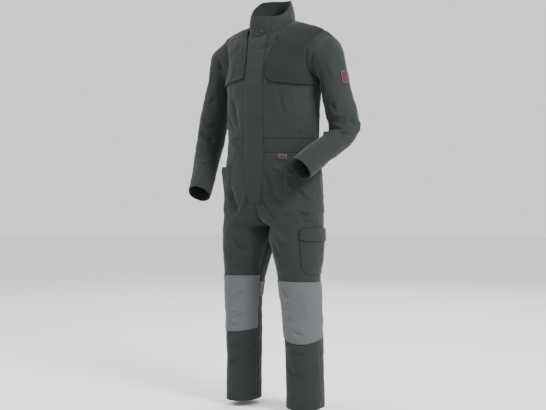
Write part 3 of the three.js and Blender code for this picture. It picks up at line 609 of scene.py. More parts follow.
# Creases of the worn cloth: route, half width, height (a trough below zero).
CREASES = [
    (((95, -111, -253), (105, -106, -307), (116, -100, -365)), 9, -2.2),
    (((63, -96, -83), (38, -105, -100), (8, -113, -116)), 8, -2),
    (((161, -61, -400), (156, -66, -418), (151, -71, -433)), 7, -3),
    (((-119, -103, -265), (-94, -111, -342), (-69, -120, -417)), 14, -2.4),
    (((-118, -105, -433), (-85, -118, -457), (-58, -123, -473)), 7, -2),
    (((-150, -85, -330), (-128, -100, -372), (-96, -112, -400)), 10, -2.4),
    (((140, -90, -280), (156, -80, -330), (150, -80, -372)), 10, 2.2),
    (((67, -115, -533), (116, -103, -552), (155, -79, -566)), 8, 3),
    (((70, -116, -505), (112, -104, -520), (150, -82, -528)), 8, -2.4),
    (((151, -85, -609), (172, -65, -642), (188, -43, -667)), 9, -3.4),
    (((118, -104, -590), (146, -90, -622), (160, -78, -660)), 10, 2.4),
    (((33, -122, -540), (70, -112, -627), (117, -104, -721)), 12, -3.4),
    (((20, -118, -640), (56, -116, -700), (96, -108, -744)), 10, -2.6),
    (((168, -73, -720), (184, -49, -724), (194, -18, -730)), 7, 2.6),
    (((153, -88, -699), (175, -69, -706), (189, -38, -717)), 7, -3),
    (((144, -93, -728), (156, -86, -735), (165, -79, -742)), 6, -2.2),
    (((87, -100, -772), (111, -102, -796), (130, -99, -817)), 9, 3),
    (((60, -104, -800), (84, -104, -842), (104, -98, -880)), 11, -3),
    (((60, -88, -900), (92, -98, -918), (120, -96, -926)), 9, 2.4),
    (((-140, -101, -601), (-111, -108, -657), (-69, -114, -716)), 16, -4.6),
    (((-30, -118, -600), (-60, -114, -680), (-110, -110, -740)), 10, 2.6),
    (((-120, -106, -780), (-90, -104, -830), (-52, -88, -866)), 13, -3.2),
    (((-160, -85, -800), (-150, -92, -860), (-128, -98, -912)), 12, 2.8),
    (((-60, -92, -880), (-92, -98, -902), (-140, -92, -916)), 9, -2.6),
    (((74, -80, -1000), (110, -88, -1022), (160, -80, -1030)), 12, 2.2),
    (((90, -84, -1078), (130, -86, -1092), (176, -66, -1098)), 11, -2.4),
    (((-70, -76, -985), (-108, -88, -1012), (-158, -78, -1020)), 12, 2.2),
    (((-80, -76, -1082), (-120, -84, -1100), (-168, -66, -1096)), 11, -2.4),
    (((84, -84, -968), (112, -90, -990), (130, -90, -1018)), 9, -3),
    (((150, -84, -960), (166, -76, -984), (186, -52, -996)), 8, 2.6),
    (((82, -84, -1048), (106, -88, -1062), (136, -88, -1066)), 8, 2.8),
    (((140, -86, -1128), (164, -78, -1140), (186, -54, -1138)), 8, -2.6),
    (((-84, -82, -1000), (-104, -88, -1010), (-124, -88, -1034)), 8, -3),
    (((-96, -88, -1064), (-126, -86, -1070), (-158, -74, -1066)), 8, 2.8),
    (((-90, -82, -1120), (-116, -84, -1128), (-146, -78, -1126)), 8, -2.4),
    (((125, -78, -1205), (165, -73, -1216), (204, -15, -1206)), 9, -3),
    (((92, -70, -1180), (128, -80, -1190), (168, -72, -1186)), 8, 2.2),
    (((100, -68, -1262), (140, -78, -1286), (184, -60, -1300)), 11, -2.6),
    (((90, -60, -1330), (118, -74, -1352), (156, -74, -1362)), 10, 2),
    (((-138, -79, -1204), (-98, -63, -1217), (-75, -12, -1203)), 9, -3),
    (((-90, -70, -1176), (-130, -80, -1188), (-172, -66, -1182)), 8, 2.2),
    (((-104, -66, -1250), (-142, -78, -1278), (-180, -58, -1290)), 11, -2.6),
    (((-92, -62, -1340), (-128, -76, -1356), (-164, -68, -1350)), 10, 2),
    (((214, -49, -112), (201, -53, -154), (199, -30, -202)), 9, -4),
    (((240, -51, -192), (235, -36, -248), (238, -20, -297)), 10, -4),
    (((262, -19, -309), (268, -14, -319), (273, -9, -334)), 9, -4),
    (((262, -46, -160), (276, -38, -200), (290, -24, -232)), 11, 2.4),
    (((236, -24, -262), (262, -20, -272), (292, 2, -270)), 9, 2.6),
    (((252, -14, -345), (278, -4, -352), (304, 18, -346)), 8, 3),
    (((240, 4, -380), (262, 4, -384), (299, 16, -398)), 8, 4),
    (((276, -1, -409), (298, 11, -419), (310, 34, -426)), 8, -4),
    (((312, 29, -369), (318, 40, -376), (321, 58, -382)), 8, -3.4),
    (((312, 84, -366), (318, 84, -388), (308, 76, -414)), 22, 3.4),
    (((214, 20, -356), (226, 2, -372), (252, -2, -384)), 10, 4.4),
    (((216, 22, -384), (232, 8, -398), (262, 2, -402)), 8, -4.4),
    (((214, 8, -408), (234, -10, -418), (262, -14, -424)), 9, 3.6),
    (((250, -20, -432), (272, -22, -446), (292, -8, -462)), 8, 3),
    (((224, -60, -462), (250, -60, -474), (276, -44, -486)), 9, -3),
    (((214, -100, -494), (240, -92, -500), (258, -72, -512)), 9, 2.4),
    (((-226, -52, -117), (-214, -56, -141), (-207, -51, -166)), 9, -4),
    (((-246, -50, -150), (-262, -46, -196), (-280, -38, -236)), 12, 2.6),
    (((-236, -44, -262), (-262, -48, -280), (-300, -40, -288)), 10, -3),
    (((-324, -47, -394), (-287, -50, -418), (-255, -30, -432)), 10, -4.2),
    (((-318, -46, -352), (-290, -52, -366), (-258, -44, -372)), 9, 3.2),
    (((-330, -50, -436), (-300, -62, -458), (-262, -52, -470)), 9, 3.2),
    (((-307, -87, -504), (-267, -93, -517), (-248, -62, -505)), 9, 3),
    (((-312, -92, -540), (-282, -108, -556), (-252, -96, -566)), 9, -3),
    (((-296, -116, -590), (-270, -124, -600), (-244, -110, -600)), 8, 2.2),
    (((70, 126, -150), (96, 124, -230), (88, 120, -320)), 15, -3),
    (((-62, 126, -160), (-88, 126, -240), (-100, 118, -330)), 15, -3),
    (((20, 122, -300), (62, 116, -360), (112, 100, -410)), 12, 3),
    (((-16, 122, -320), (-54, 118, -370), (-104, 104, -416)), 12, 3),
    (((130, 96, -300), (150, 82, -350), (160, 70, -420)), 11, -3),
    (((-134, 96, -290), (-152, 82, -346), (-158, 72, -420)), 11, -3),
    (((18, 136, -610), (58, 148, -660), (104, 140, -700)), 14, 3.4),
    (((-22, 136, -600), (-64, 148, -654), (-100, 140, -704)), 14, 3.4),
    (((30, 120, -740), (72, 118, -772), (124, 100, -790)), 11, -4),
    (((-26, 120, -736), (-70, 118, -768), (-128, 100, -784)), 11, -4),
    (((60, 84, -900), (104, 84, -922), (160, 60, -916)), 11, 3.2),
    (((-64, 82, -896), (-110, 84, -916), (-162, 60, -924)), 11, 3.2),
    (((70, 66, -1052), (118, 74, -1076), (176, 44, -1070)), 10, -3.6),
    (((-74, 66, -1046), (-120, 74, -1072), (-174, 44, -1080)), 10, -3.6),
    (((84, 62, -1120), (130, 74, -1150), (178, 50, -1160)), 12, 3),
    (((-80, 62, -1126), (-126, 74, -1146), (-176, 50, -1166)), 12, 3),
    (((110, 74, -1240), (138, 76, -1300), (128, 76, -1370)), 12, -2.6),
    (((-108, 74, -1230), (-134, 76, -1296), (-140, 74, -1372)), 12, -2.6),
    (((250, 70, -190), (272, 76, -250), (300, 70, -300)), 12, -3.2),
    (((-250, 64, -180), (-276, 66, -250), (-306, 58, -310)), 12, -3.2),
    (((246, 100, -360), (272, 116, -392), (304, 100, -410)), 9, 3.2),
    (((246, 92, -410), (268, 92, -436), (296, 70, -450)), 8, -3.4),
    (((-290, 60, -380), (-316, 50, -420), (-338, 20, -440)), 9, 3.2),
    (((-280, 40, -470), (-312, 30, -490), (-336, 0, -500)), 9, -3),
]


CREASE_RISE = 2.1
CRUMPLE_RISE = 1.9
PUCKER_RISE = 0.55
PUCKER_REACH = 11
GROOVE_DEEP = 0.7
GROOVE_WIDE = 3


def distance_to_run(p, start, end):
    """Distance from points to a straight run, and the place along it."""
    start = np.array(start, float)
    run = np.array(end) - start
    t = np.clip((p - start) @ run / (run @ run), 0, 1)
    return np.linalg.norm(p - start - t[..., None] * run, axis=-1), t


def crease_height(p):
    """Height of all creases at points: each a crest with softer hollows beside it."""
    height = np.zeros(p.shape[:-1])
    for (start, bend, end), wide, tall in CREASES:
        first, t1 = distance_to_run(p, start, bend)
        second, t2 = distance_to_run(p, bend, end)
        near = np.minimum(first, second) / wide
        along = np.where(first < second, t1, 1 + t2) / 2
        taper = ease(np.minimum(along, 1 - along) * 3 + 0.06)
        height += CREASE_RISE * tall * taper * (1 - 0.6 * near ** 2) * np.exp(-near ** 2)
    return height


def crumple(p):
    """Slight uneven rise and fall of worn cloth."""
    out = np.empty(p.shape[:-1])
    flat = out.reshape(-1)
    for k, (x, y, z) in enumerate(p.reshape(-1, 3)):
        broad = noise.noise((x / 62, y / 62, z / 95))
        sharp = abs(noise.noise((x / 40 + 9, y / 40, z / 58)))
        fine = noise.noise((x / 15, y / 15 + 4, z / 17))
        flat[k] = CRUMPLE_RISE * (1.5 * broad + 1.8 * (0.25 - sharp) + 0.2 * fine)
    return out


def pucker(p, edge):
    """Small waves that sewing draws up beside a seam."""
    near = np.exp(-edge / PUCKER_REACH)
    out = np.zeros_like(near)
    for index in np.argwhere(near > 0.08):
        index = tuple(index)
        out[index] = PUCKER_RISE * near[index] * noise.noise(tuple(p[index] / 8.5))
    return out


def linear(hex_colour):
    """sRGB hex to linear RGBA."""
    parts = [int(hex_colour[i:i + 2], 16) / 255 for i in (0, 2, 4)]
    return (*(c / 12.92 if c <= 0.04045 else ((c + 0.055) / 1.055) ** 2.4 for c in parts), 1)


def add_node(tree, kind, settings=None, **inputs):
    """Adds a node. Inputs are values, or (node, output) pairs to link."""
    node = tree.nodes.new(kind)
    for name, value in (settings or {}).items():
        setattr(node, name, value)
    for name, value in inputs.items():
        socket = node.inputs[int(name[1:])] if name[0] == "_" else node.inputs[name.replace("_", " ")]
        if isinstance(value, tuple) and len(value) == 2 and hasattr(value[0], "outputs"):
            tree.links.new(value[0].outputs[value[1]], socket)
        else:
            socket.default_value = value
    return node


def maths(tree, operation, first, second=0.0, third=0.0):
    return add_node(tree, "ShaderNodeMath", {"operation": operation}, _0=first, _1=second, _2=third), 0


# Topstitching in millimetres: two rows beside a seam, one row above a hem, half
# the width of the thread and the length of one stitch with its gap.
NEAR_STITCH = 2.0
FAR_STITCH = 8.0
HEM_STITCH = 20.0
STITCH_HALF = 0.45
STITCH_LONG = 3.4


def woven(name, cloth_colour, thread_colour, pitch, roughness, contrast, sheen):
    """A woven work cloth: diagonal rib, flecks, felled edges with painted shade along the seams, and
    topstitching.
    """
    material = bpy.data.materials.new(name)
    material.use_nodes = True
    tree = material.node_tree
    shader = tree.nodes["Principled BSDF"]
    uv = add_node(tree, "ShaderNodeTexCoord")
    rib = add_node(
        tree, "ShaderNodeTexWave", {"bands_direction": "DIAGONAL"},
        Vector=(uv, "UV"), Scale=2 * math.pi / (10 * pitch * MM * math.sqrt(2)), Distortion=0.6, Detail=1.0,
    )
    fleck = add_node(tree, "ShaderNodeTexNoise", Vector=(uv, "Object"), Scale=700.0, Detail=2.0)
    fade = add_node(tree, "ShaderNodeTexNoise", Vector=(uv, "Object"), Scale=11.0, Detail=3.0)
    edge = (add_node(tree, "ShaderNodeAttribute", {"attribute_name": "edge_mm"}), "Fac")
    hem = (add_node(tree, "ShaderNodeAttribute", {"attribute_name": "hem_mm"}), "Fac")
    place_uv = add_node(tree, "ShaderNodeSeparateXYZ", _0=(uv, "UV"))
    run = maths(tree, "ADD", (place_uv, 0), (place_uv, 1))
    beat = maths(tree, "SINE", maths(tree, "MULTIPLY", run, 2 * math.pi / (STITCH_LONG * MM)))
    dash = maths(tree, "GREATER_THAN", beat, -0.5)
    near_row = maths(tree, "COMPARE", edge, NEAR_STITCH, STITCH_HALF)
    far_row = maths(tree, "COMPARE", edge, FAR_STITCH, STITCH_HALF)
    hem_row = maths(tree, "COMPARE", hem, HEM_STITCH, 0.5)
    rows = maths(tree, "ADD", maths(tree, "ADD", near_row, far_row), hem_row)
    stitch = maths(tree, "MULTIPLY", rows, dash)
    tone = maths(tree, "MULTIPLY_ADD", (fade, "Fac"), contrast, 1 - contrast / 2)
    tone = maths(tree, "MULTIPLY", tone, maths(tree, "MULTIPLY_ADD", (fleck, "Fac"), 0.3, 0.85))
    tone = maths(tree, "MULTIPLY", tone, maths(tree, "MULTIPLY_ADD", (rib, "Fac"), 0.12, 0.94))
    # Painted shade: the cloth colour is made up to 6% darker within 3.5 mm of a seam, standing in for the
    # shade in the seam's crevice.
    seam_shade = add_node(
        tree, "ShaderNodeMapRange", {"interpolation_type": "SMOOTHSTEP"},
        _0=edge, _1=0.0, _2=3.5, _3=0.94, _4=1.0,
    )
    tone = maths(tree, "MULTIPLY", tone, (seam_shade, 0))
    shade = add_node(
        tree, "ShaderNodeVectorMath", {"operation": "SCALE"},
        _0=linear(cloth_colour)[:3], Scale=tone,
    )
    colour = add_node(
        tree, "ShaderNodeMix", {"data_type": "RGBA"},
        _0=stitch, _6=(shade, 0), _7=linear(thread_colour),
    )
    tree.links.new(colour.outputs[2], shader.inputs["Base Color"])
    welt = add_node(
        tree, "ShaderNodeMapRange", {"interpolation_type": "SMOOTHSTEP"},
        _0=edge, _1=7.0, _2=14.0, _3=0.4, _4=0.0,
    )
    height = maths(tree, "MULTIPLY_ADD", (rib, "Fac"), 0.16, (welt, 0))
    height = maths(tree, "MULTIPLY_ADD", rows, -0.15, height)
    height = maths(tree, "MULTIPLY_ADD", (fleck, "Fac"), 0.2, height)
    bump = add_node(tree, "ShaderNodeBump", Strength=0.5, Distance=0.0006, Height=height)
    tree.links.new(bump.outputs[0], shader.inputs["Normal"])
    shader.inputs["Roughness"].default_value = roughness
    shader.inputs["Specular IOR Level"].default_value = 0.15
    shader.inputs["Sheen Weight"].default_value = sheen
    shader.inputs["Sheen Roughness"].default_value = 0.45
    return material


def woven_tag():
    """A plain woven tag: matt red yarn with a narrow pale overlocked border."""
    material = bpy.data.materials.new("woven_red_tag")
    material.use_nodes = True
    tree = material.node_tree
    shader = tree.nodes["Principled BSDF"]
    uv = add_node(tree, "ShaderNodeTexCoord")
    rib = add_node(
        tree, "ShaderNodeTexWave", {"bands_direction": "X"},
        Vector=(uv, "UV"), Scale=2 * math.pi / (20 * 1.1 * MM),
    )
    edge = (add_node(tree, "ShaderNodeAttribute", {"attribute_name": "edge_mm"}), "Fac")
    border = maths(tree, "LESS_THAN", edge, 2.0)
    red = add_node(
        tree, "ShaderNodeMix", {"data_type": "RGBA"},
        _0=(rib, "Fac"), _6=linear("341311"), _7=linear("461914"),
    )
    colour = add_node(
        tree, "ShaderNodeMix", {"data_type": "RGBA"},
        _0=border, _6=(red, 2), _7=linear("4a4947"),
    )
    tree.links.new(colour.outputs[2], shader.inputs["Base Color"])
    bump = add_node(tree, "ShaderNodeBump", Strength=0.5, Distance=0.0003, Height=(rib, "Fac"))
    tree.links.new(bump.outputs[0], shader.inputs["Normal"])
    shader.inputs["Roughness"].default_value = 0.85
    return material


def painted_metal():
    """Press stud in brass under dark baked paint, half glossy."""
    material = bpy.data.materials.new("dark_painted_brass")
    material.use_nodes = True
    shader = material.node_tree.nodes["Principled BSDF"]
    shader.inputs["Base Color"].default_value = linear("2a2e2e")
    shader.inputs["Metallic"].default_value = 0.6
    shader.inputs["Roughness"].default_value = 0.38
    return material


# Rib spacing is drawn about three times as coarse as real thread, to show.
TWILL = woven("dark_grey_cotton_twill", "242828", "1f2323", 1.7, 0.9, 0.2, 0.08)
# The chest flaps are cut from a slightly darker and less green run of the same twill.
FLAP_TWILL = woven("charcoal_cotton_twill", "1f2122", "1b1d1e", 1.7, 0.9, 0.2, 0.08)
CANVAS = woven("mid_grey_woven_canvas", "4f5255", "45484b", 1.4, 0.92, 0.2, 0.08)
TAG = woven_tag()
PAINT = painted_metal()


def on(sheet, region, lift=0.0):
    """Maker of points and normals of cloth that lies on a sheet."""
    def shape(s, t):
        u, v = region(s, t)
        rise = (lift(s, t) if callable(lift) else lift) + CLOTH
        normal = sheet.normal(u, np.clip(v, 0, 1))
        return sheet.at(u, v) + normal * np.asarray(rise + np.zeros_like(u))[..., None], normal
    return shape


def arc(p, axis):
    """Length along the cloth from its first row or column."""
    step = np.linalg.norm(np.diff(p, axis=axis), axis=-1)
    pad = [(0, 0), (0, 0)]
    pad[axis] = (1, 0)
    return np.cumsum(np.pad(step, pad), axis=axis)


def sew(name, nodes, shape, columns, rows, material, sewn="lrbt", hem="", shell=SHELL, still=1.0):
    """Makes a piece of cloth. l and r are its edges across s, b and t along t."""
    bm = bmesh.new()
    bmesh.ops.create_grid(bm, x_segments=columns, y_segments=rows, size=0.5)
    mesh = bpy.data.meshes.new(name)
    bm.to_mesh(mesh)
    bm.free()
    co = np.empty(len(mesh.vertices) * 3)
    mesh.vertices.foreach_get("co", co)
    i, j = np.rint((co.reshape(-1, 3)[:, :2] + 0.5) * (columns, rows)).astype(int).T
    s, t = np.meshgrid(np.linspace(0, 1, columns + 1), np.linspace(0, 1, rows + 1))
    p, normal = shape(s, t)
    across, along = arc(p, 1), arc(p, 0)
    gaps = {"l": across, "r": across[:, -1:] - across, "b": along, "t": along[-1:] - along}
    far = np.full(s.shape, 99.0)
    edge = np.minimum.reduce([far, *(gaps[k] for k in sewn)])
    hems = np.minimum.reduce([far, *(gaps[k] for k in hem)])
    groove = GROOVE_DEEP * np.exp(-(edge / GROOVE_WIDE) ** 2)
    rise = still * (crease_height(p) + crumple(p)) + pucker(p, edge) - groove
    p = (p + normal * rise[..., None]) * MM
    mesh.vertices.foreach_set("co", p[j, i].ravel())
    mesh.update()
    facing = np.array(mesh.polygons[len(mesh.polygons) // 2].normal)
    middle = mesh.polygons[len(mesh.polygons) // 2].vertices[0]
    if facing @ normal[j[middle], i[middle]] < 0:
        mesh.flip_normals()
    corner = np.empty(len(mesh.loops), int)
    mesh.loops.foreach_get("vertex_index", corner)
    uv = np.stack([across, along], -1)[j, i][corner] * MM
    mesh.uv_layers.new(name="UVMap").data.foreach_set("uv", uv.ravel())
    for attribute, values in (("edge_mm", edge), ("hem_mm", hems)):
        mesh.attributes.new(attribute, "FLOAT", "POINT").data.foreach_set("value", values[j, i])
    mesh.shade_smooth()
    piece = bpy.data.objects.new(name, mesh)
    bpy.context.collection.objects.link(piece)
    mesh.materials.append(material)
    wall = piece.modifiers.new("cloth thickness", "SOLIDIFY")
    wall.thickness = shell * MM
    wall.offset = -1
    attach(piece, "root")
    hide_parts(*nodes)
    width, length, area = CUTS[name]


def panel(low=0.0, high=1.0):
    return lambda s, t: (s, mix(low, high, t))


def leg_region(sheet, low, high, top, bottom):
    """Region between two heights of a leg, which may both change with s."""
    def region(s, t):
        u = mix(low, high, s)
        return u, v_at_height(sheet.base, u, mix(top(s), bottom(s), t))
    return region


def level(height):
    return lambda s: height + 0 * s


def puff(s, t, deep):
    """Bulge of a pocket: flat on its edges, standing off in the middle."""
    return deep * ease(np.minimum(s, 1 - s) * 4) * ease(np.minimum(t + 0.1, 1 - t) * 4)


# Flat cuts in metres: width, length and area, seam allowances left out.
CUTS = {
    "left_front": (0.257, 0.530, 0.0998),
    "right_front": (0.258, 0.530, 0.1006),
    "back_panel": (0.529, 0.315, 0.1397),
    "yoke": (0.806, 0.278, 0.0850),
    "waist_casing": (0.981, 0.050, 0.0490),
    "stand_collar": (0.569, 0.084, 0.0377),
    "zip_placket": (0.091, 0.700, 0.0520),
    "left_chest_flap": (0.187, 0.288, 0.0355),
    "right_chest_flap": (0.200, 0.268, 0.0352),
    "left_top_sleeve": (0.294, 0.672, 0.1186),
    "left_under_sleeve": (0.184, 0.670, 0.0701),
    "right_top_sleeve": (0.294, 0.681, 0.1259),
    "right_under_sleeve": (0.185, 0.679, 0.0731),
    "left_leg_front": (0.314, 1.004, 0.2342),
    "left_leg_back": (0.315, 1.028, 0.2376),
    "right_leg_front": (0.317, 1.001, 0.2310),
    "right_leg_back": (0.328, 1.037, 0.2358),
    "left_knee_panel": (0.293, 0.225, 0.0595),
    "left_knee_band": (0.218, 0.058, 0.0123),
    "right_knee_panel": (0.287, 0.214, 0.0568),
    "right_knee_band": (0.210, 0.058, 0.0119),
    "cargo_pocket_bag": (0.181, 0.163, 0.0265),
    "cargo_pocket_flap": (0.196, 0.048, 0.0087),
    "left_hip_pocket": (0.231, 0.185, 0.0400),
    "right_hip_pocket": (0.234, 0.187, 0.0411),
    "rule_pocket_bag": (0.088, 0.197, 0.0158),
    "waist_tag": (0.032, 0.016, 0.0005),
    "sleeve_tag": (0.034, 0.047, 0.0015),
}

# The collar starts a little below the neckline, so that no gap shows there.
COLLAR_TUCK = -0.07

for side, word in SIDES.items():
    sew(
        f"{word}_front", [f"front_{word}"], on(bodice[side]["front"], panel(band_v)),
        64, 116, TWILL,
    )
sew(
    "back_panel", ["back"], on(back_sheet, panel(band_v, YOKE_SEAM)), 104, 64, TWILL,
)
sew("yoke", ["back_yoke"], on(yoke_sheet, panel()), 120, 34, TWILL)
sew("waist_casing", ["waistband"], on(girdle, panel()), 260, 14, TWILL)
sew(
    "stand_collar", ["collar"], on(collar_sheet, panel(COLLAR_TUCK)), 140, 28, TWILL, still=0.5,
)


def on_front(x, z):
    """Points and normals of the front at distances x and heights z."""
    p, normal = np.zeros((*x.shape, 3)), np.zeros((*x.shape, 3))
    far = np.abs(x)
    neck = z > -58
    if neck.any():
        u = np.arcsin(np.clip(far / mix(84, 70, ease((z + 60) / 70)), 0, 1)) / math.pi / 2
        half = np.where(x >= 0, u, 1 - u)[neck]
        v = v_at_height(collar_sheet.base, half, np.minimum(z[neck], 9))
        p[neck], normal[neck] = collar_sheet.at(half, v), collar_sheet.normal(half, v)
        p[neck, 2] = z[neck]
    for side in SIDES:
        for low, high, sheet in (
            (BAND_BOTTOM, -58, bodice[side]["front"]),
            (-1e4, BAND_BOTTOM, leg[side]["front"]),
        ):
            here = (z > low) & (z <= high) & ((x < 0) == (side < 0))
            if here.any():
                u, v = place(sheet.base, np.maximum(far[here], 0.5), z[here])
                p[here], normal[here] = sheet.at(u, v), sheet.normal(u, v)
                p[here, 0] = x[here]
    return p, normal


def placket_shape(s, t):
    row = between([list(map(float, r)) for r in PLACKET_ROWS], t * (len(PLACKET_ROWS) - 1))
    z, right, left = row[..., 0], row[..., 1], row[..., 2]
    p, normal = on_front(mix(right, left, s), z)
    clear = mix(0.7, 2.1, ease((z + 110) / 30))
    return p + normal * (LAID_ON + clear + CLOTH)[..., None], normal


sew("zip_placket", ["placket"], placket_shape, 24, 190, TWILL, shell=1.8)

FLAP_CLEAR = 2.1
for side, word in SIDES.items():
    sheet = bodice[side]["front"]
    inner = np.stack(place(sheet.base, *np.array(FLAP_ROWS[side], float)[:, :2].T), -1)
    outer = [[0.935, row[2]] for row in FLAP_ROWS[side]]
    sag = 0.012 if side > 0 else 0.006

    def flap_region(s, t, inner=inner, outer=outer, sag=sag):
        a = between(inner, t * (len(inner) - 1))
        b = between(outer, t * (len(outer) - 1))
        v = mix(a[..., 1], b[..., 1], s) - sag * np.sin(math.pi * s) * (1 - t)
        return mix(np.maximum(a[..., 0], 0.045), b[..., 0], s), np.minimum(v, 0.998)

    sew(
        f"{word}_chest_flap", [f"chest_flap_{word}"],
        on(sheet, flap_region, lambda s, t: LAID_ON + FLAP_CLEAR + 2.4 * ease(1 - t * 7)),
        60, 64, FLAP_TWILL, shell=1.8,
    )

# Sleeves: top sleeve and under sleeve, in sixteenths of the turn.
SLEEVE_PANELS = {"top_sleeve": (-2, 8), "under_sleeve": (8, 14)}
for side, word in SIDES.items():
    for panel_name, (start, end) in SLEEVE_PANELS.items():
        def sleeve_region(s, t, start=start, end=end):
            return mix(start, end, s) / 16, t

        sew(
            f"{word}_{panel_name}", [f"{panel_name}_{word}"], on(sleeve[side], sleeve_region),
            9 * (end - start), 156, TWILL, sewn="lrb", hem="t",
        )

for side, word in SIDES.items():
    for face in ("front", "back"):
        sew(
            f"{word}_leg_{face}", [f"leg_{face}_{word}"], on(leg[side][face], panel()),
            60, 236, TWILL, sewn="lrb", hem="t",
        )

PATCH_CLEAR = 0.7
KNEES = {
    1: (lambda s: -948 - 4 * s, lambda s: -1134 - 20 * s - 30 * np.sin(math.pi * s)),
    -1: (lambda s: -936 - 6 * s, lambda s: -1138 - 12 * s - 8 * np.sin(math.pi * s)),
}
# The panel goes round the front and on past the outseam; the band fills the rest.
KNEE_PANEL_END = 9 / 16
KNEE_BAND_END = 2 - 2 * KNEE_PANEL_END
KNEE_BAND = {"top": -963, "bottom": -1021}
for side, word in SIDES.items():
    sew(
        f"{word}_knee_panel", [f"knee_panel_{word}"],
        on(
            leg[side]["round"], leg_region(leg[side]["round"], 0.001, KNEE_PANEL_END, *KNEES[side]),
            LAID_ON + PATCH_CLEAR,
        ),
        68, 64, CANVAS, shell=1.6,
    )
    sew(
        f"{word}_knee_band", [f"knee_band_{word}"],
        on(
            leg[side]["back"],
            leg_region(
                leg[side]["back"], 0.004, KNEE_BAND_END - 0.003,
                level(KNEE_BAND["top"]), level(KNEE_BAND["bottom"]),
            ),
            LAID_ON + PATCH_CLEAR,
        ),
        60, 18, CANVAS, shell=1.6,
    )

CARGO = {"from": 6 / 16, "to": 10 / 16, "top": -766, "bottom": -926, "deep": 6}


def cargo_bottom(s):
    """Lower edge of the thigh pocket, with its front corner cut off."""
    return CARGO["bottom"] + 24 * np.maximum(1 - s / 0.17, 0)


sew(
    "cargo_pocket_bag", ["cargo_pocket"],
    on(
        leg[1]["round"],
        leg_region(leg[1]["round"], CARGO["from"], CARGO["to"], level(CARGO["top"]), cargo_bottom),
        lambda s, t: LAID_ON + PATCH_CLEAR + puff(s, t, CARGO["deep"]),
    ),
    48, 56, TWILL, shell=1.8,
)
sew(
    "cargo_pocket_flap", ["cargo_flap"],
    on(
        leg[1]["round"],
        leg_region(
            leg[1]["round"], CARGO["from"] - 0.004, CARGO["to"] + 0.004, level(CARGO["top"] + 7),
            lambda s: CARGO["top"] - 31 - 8 * ease(np.sin(math.pi * s) * 2),
        ),
        lambda s, t: 2 * LAID_ON + 2 * PATCH_CLEAR + puff(s, t * 0.24, CARGO["deep"]) + 1.8 * ease(t * 4 - 3),
    ),
    50, 18, TWILL, shell=1.8,
)

HIP_POCKET = {"from": 3 / 16, "to": 10 / 16, "top": -534, "bottom": -716}
HIP_CLEAR = 1.1
HIP_GAPE = {1: 4, -1: 16}
SUNK_EDGE = -0.6
for side, word in SIDES.items():
    def hip_lift(s, t, side=side):
        gape = HIP_GAPE[side] * np.sin(math.pi * s) ** 2 * (1 - ease(t * 1.4))
        risen = ease(np.minimum(np.minimum(s, 1 - s) * 14, (1 - t) * 10))
        return mix(SUNK_EDGE, LAID_ON + PATCH_CLEAR + HIP_CLEAR + gape, risen)

    sew(
        f"{word}_hip_pocket", [f"hip_pocket_{word}"],
        on(
            leg[side]["round"],
            leg_region(
                leg[side]["round"], HIP_POCKET["from"], HIP_POCKET["to"],
                level(HIP_POCKET["top"]), level(HIP_POCKET["bottom"]),
            ),
            hip_lift,
        ),
        56, 50, TWILL,
    )

RULE_POCKET = {"from": 8.5 / 16, "to": 10.5 / 16, "top": -734, "bottom": -926, "deep": 5}
sew(
    "rule_pocket_bag", ["rule_pocket"],
    on(
        leg[-1]["round"],
        leg_region(
            leg[-1]["round"], RULE_POCKET["from"], RULE_POCKET["to"],
            level(RULE_POCKET["top"]), level(RULE_POCKET["bottom"]),
        ),
        lambda s, t: LAID_ON + PATCH_CLEAR + puff(s, t, RULE_POCKET["deep"]),
    ),
    24, 56, TWILL, shell=1.8,
)


# Label in millimetres from the middle and in height; badge as a place on the
# left sleeve and half its width and height there.
LABEL = {"inner": 93, "outer": 121, "top": -491, "bottom": -507}
BADGE = {"u": 0.02, "v": 0.22, "wide": 0.044, "high": 0.025}


def label_region(s, t):
    return place(
        leg[1]["front"].base,
        mix(LABEL["inner"], LABEL["outer"], s),
        mix(LABEL["top"], LABEL["bottom"], t),
    )


def patch_region(s, t):
    return BADGE["u"] + BADGE["wide"] * (2 * s - 1), BADGE["v"] + BADGE["high"] * (2 * t - 1)


sew(
    "waist_tag", ["waist_label"], on(leg[1]["front"], label_region, LAID_ON), 12, 8, TAG,
    shell=0.9,
)
sew(
    "sleeve_tag", ["sleeve_patch"], on(sleeve[1], patch_region, LAID_ON + 2 * PATCH_CLEAR), 20, 20,
    TAG, shell=0.9,
)


# Stud cap: radius and height of its profile, x and z of the placket's cloth that
# it sits on, and how far it stands proud of the middle of its solid.
STUD_PROFILE = [(0, 1.9), (3.2, 1.7), (4, 1.2), (5.6, 1.3), (6.5, 0.7), (6.8, -2), (0, -2)]
STUD_PLACE = (20.0, -40.0)
STUD_PROUD = 1.8


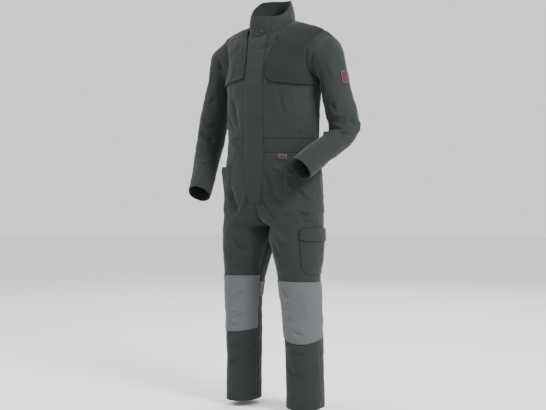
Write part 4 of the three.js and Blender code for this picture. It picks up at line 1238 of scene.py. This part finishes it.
def press_stud():
    """Domed cap of a press stud, its profile spun round."""
    bm = bmesh.new()
    rim = [bm.verts.new((r * MM, 0, h * MM)) for r, h in STUD_PROFILE]
    edges = [bm.edges.new(pair) for pair in zip(rim, rim[1:])]
    bmesh.ops.spin(
        bm, geom=rim + edges, cent=(0, 0, 0), axis=(0, 0, 1), angle=2 * math.pi, steps=40, use_merge=True,
    )
    bmesh.ops.remove_doubles(bm, verts=bm.verts, dist=1e-6)
    bmesh.ops.recalc_face_normals(bm, faces=bm.faces)
    low, high = (Vector(corner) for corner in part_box("collar_snap"))
    normal = on_front(*(np.array([value]) for value in STUD_PLACE))[1]
    facing = Vector(normal[0]).normalized()
    turn = Vector((0, 0, 1)).rotation_difference(facing)
    bmesh.ops.rotate(bm, verts=bm.verts, cent=(0, 0, 0), matrix=turn.to_matrix())
    bmesh.ops.translate(bm, verts=bm.verts, vec=(low + high) / 2 + facing * STUD_PROUD * MM)
    mesh = bpy.data.meshes.new("press_stud")
    bm.to_mesh(mesh)
    bm.free()
    mesh.shade_smooth()
    mesh.materials.append(PAINT)
    stud = bpy.data.objects.new("press_stud", mesh)
    bpy.context.collection.objects.link(stud)
    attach(stud, "root")
    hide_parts("collar_snap")


press_stud()


def plain_surface(name, hex_colour):
    """Matt painted board, as a studio floor is made of."""
    material = bpy.data.materials.new(name)
    material.use_nodes = True
    shader = material.node_tree.nodes["Principled BSDF"]
    shader.inputs["Base Color"].default_value = linear(hex_colour)
    shader.inputs["Roughness"].default_value = 0.8
    return material


# Lights: name, place in metres, size in metres, watts. All aim at one point.
LIGHTS = [
    ("key", (2.7, -0.7, 1.3), 1.0, 170),
    ("left_fill", (-2.6, -1.3, 1.2), 1.4, 80),
    ("back", (-1.0, 3.4, 1.6), 2.4, 90),
]
LIT_POINT = (0, 0, -0.6)
FLOOR_RADIUS = 14
WORLD_STRENGTH = 1.15


def studio():
    """Pale floor and soft light, strongest from the wearer's left."""
    bm = bmesh.new()
    bmesh.ops.create_circle(bm, cap_ends=True, segments=64, radius=FLOOR_RADIUS)
    bmesh.ops.translate(bm, verts=bm.verts, vec=(0, 0, FLOOR))
    mesh = bpy.data.meshes.new("floor")
    bm.to_mesh(mesh)
    bm.free()
    mesh.materials.append(plain_surface("pale_floor", "f2f2f2"))
    floor = bpy.data.objects.new("floor", mesh)
    bpy.context.collection.objects.link(floor)
    floor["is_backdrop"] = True
    world = bpy.data.worlds.new("studio")
    world.use_nodes = True
    background = world.node_tree.nodes["Background"]
    background.inputs["Color"].default_value = (1, 1, 1, 1)
    background.inputs["Strength"].default_value = WORLD_STRENGTH
    bpy.context.scene.world = world

    for name, spot, size, watts in LIGHTS:
        data = bpy.data.lights.new(name, "AREA")
        data.size = size
        data.energy = watts
        lamp = bpy.data.objects.new(name, data)
        lamp.location = spot
        aim = Vector(LIT_POINT) - Vector(spot)
        lamp.rotation_euler = aim.to_track_quat("-Z", "Y").to_euler()
        bpy.context.collection.objects.link(lamp)


studio()

[[list(corner) for corner in box] for box in (cad_box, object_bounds())]
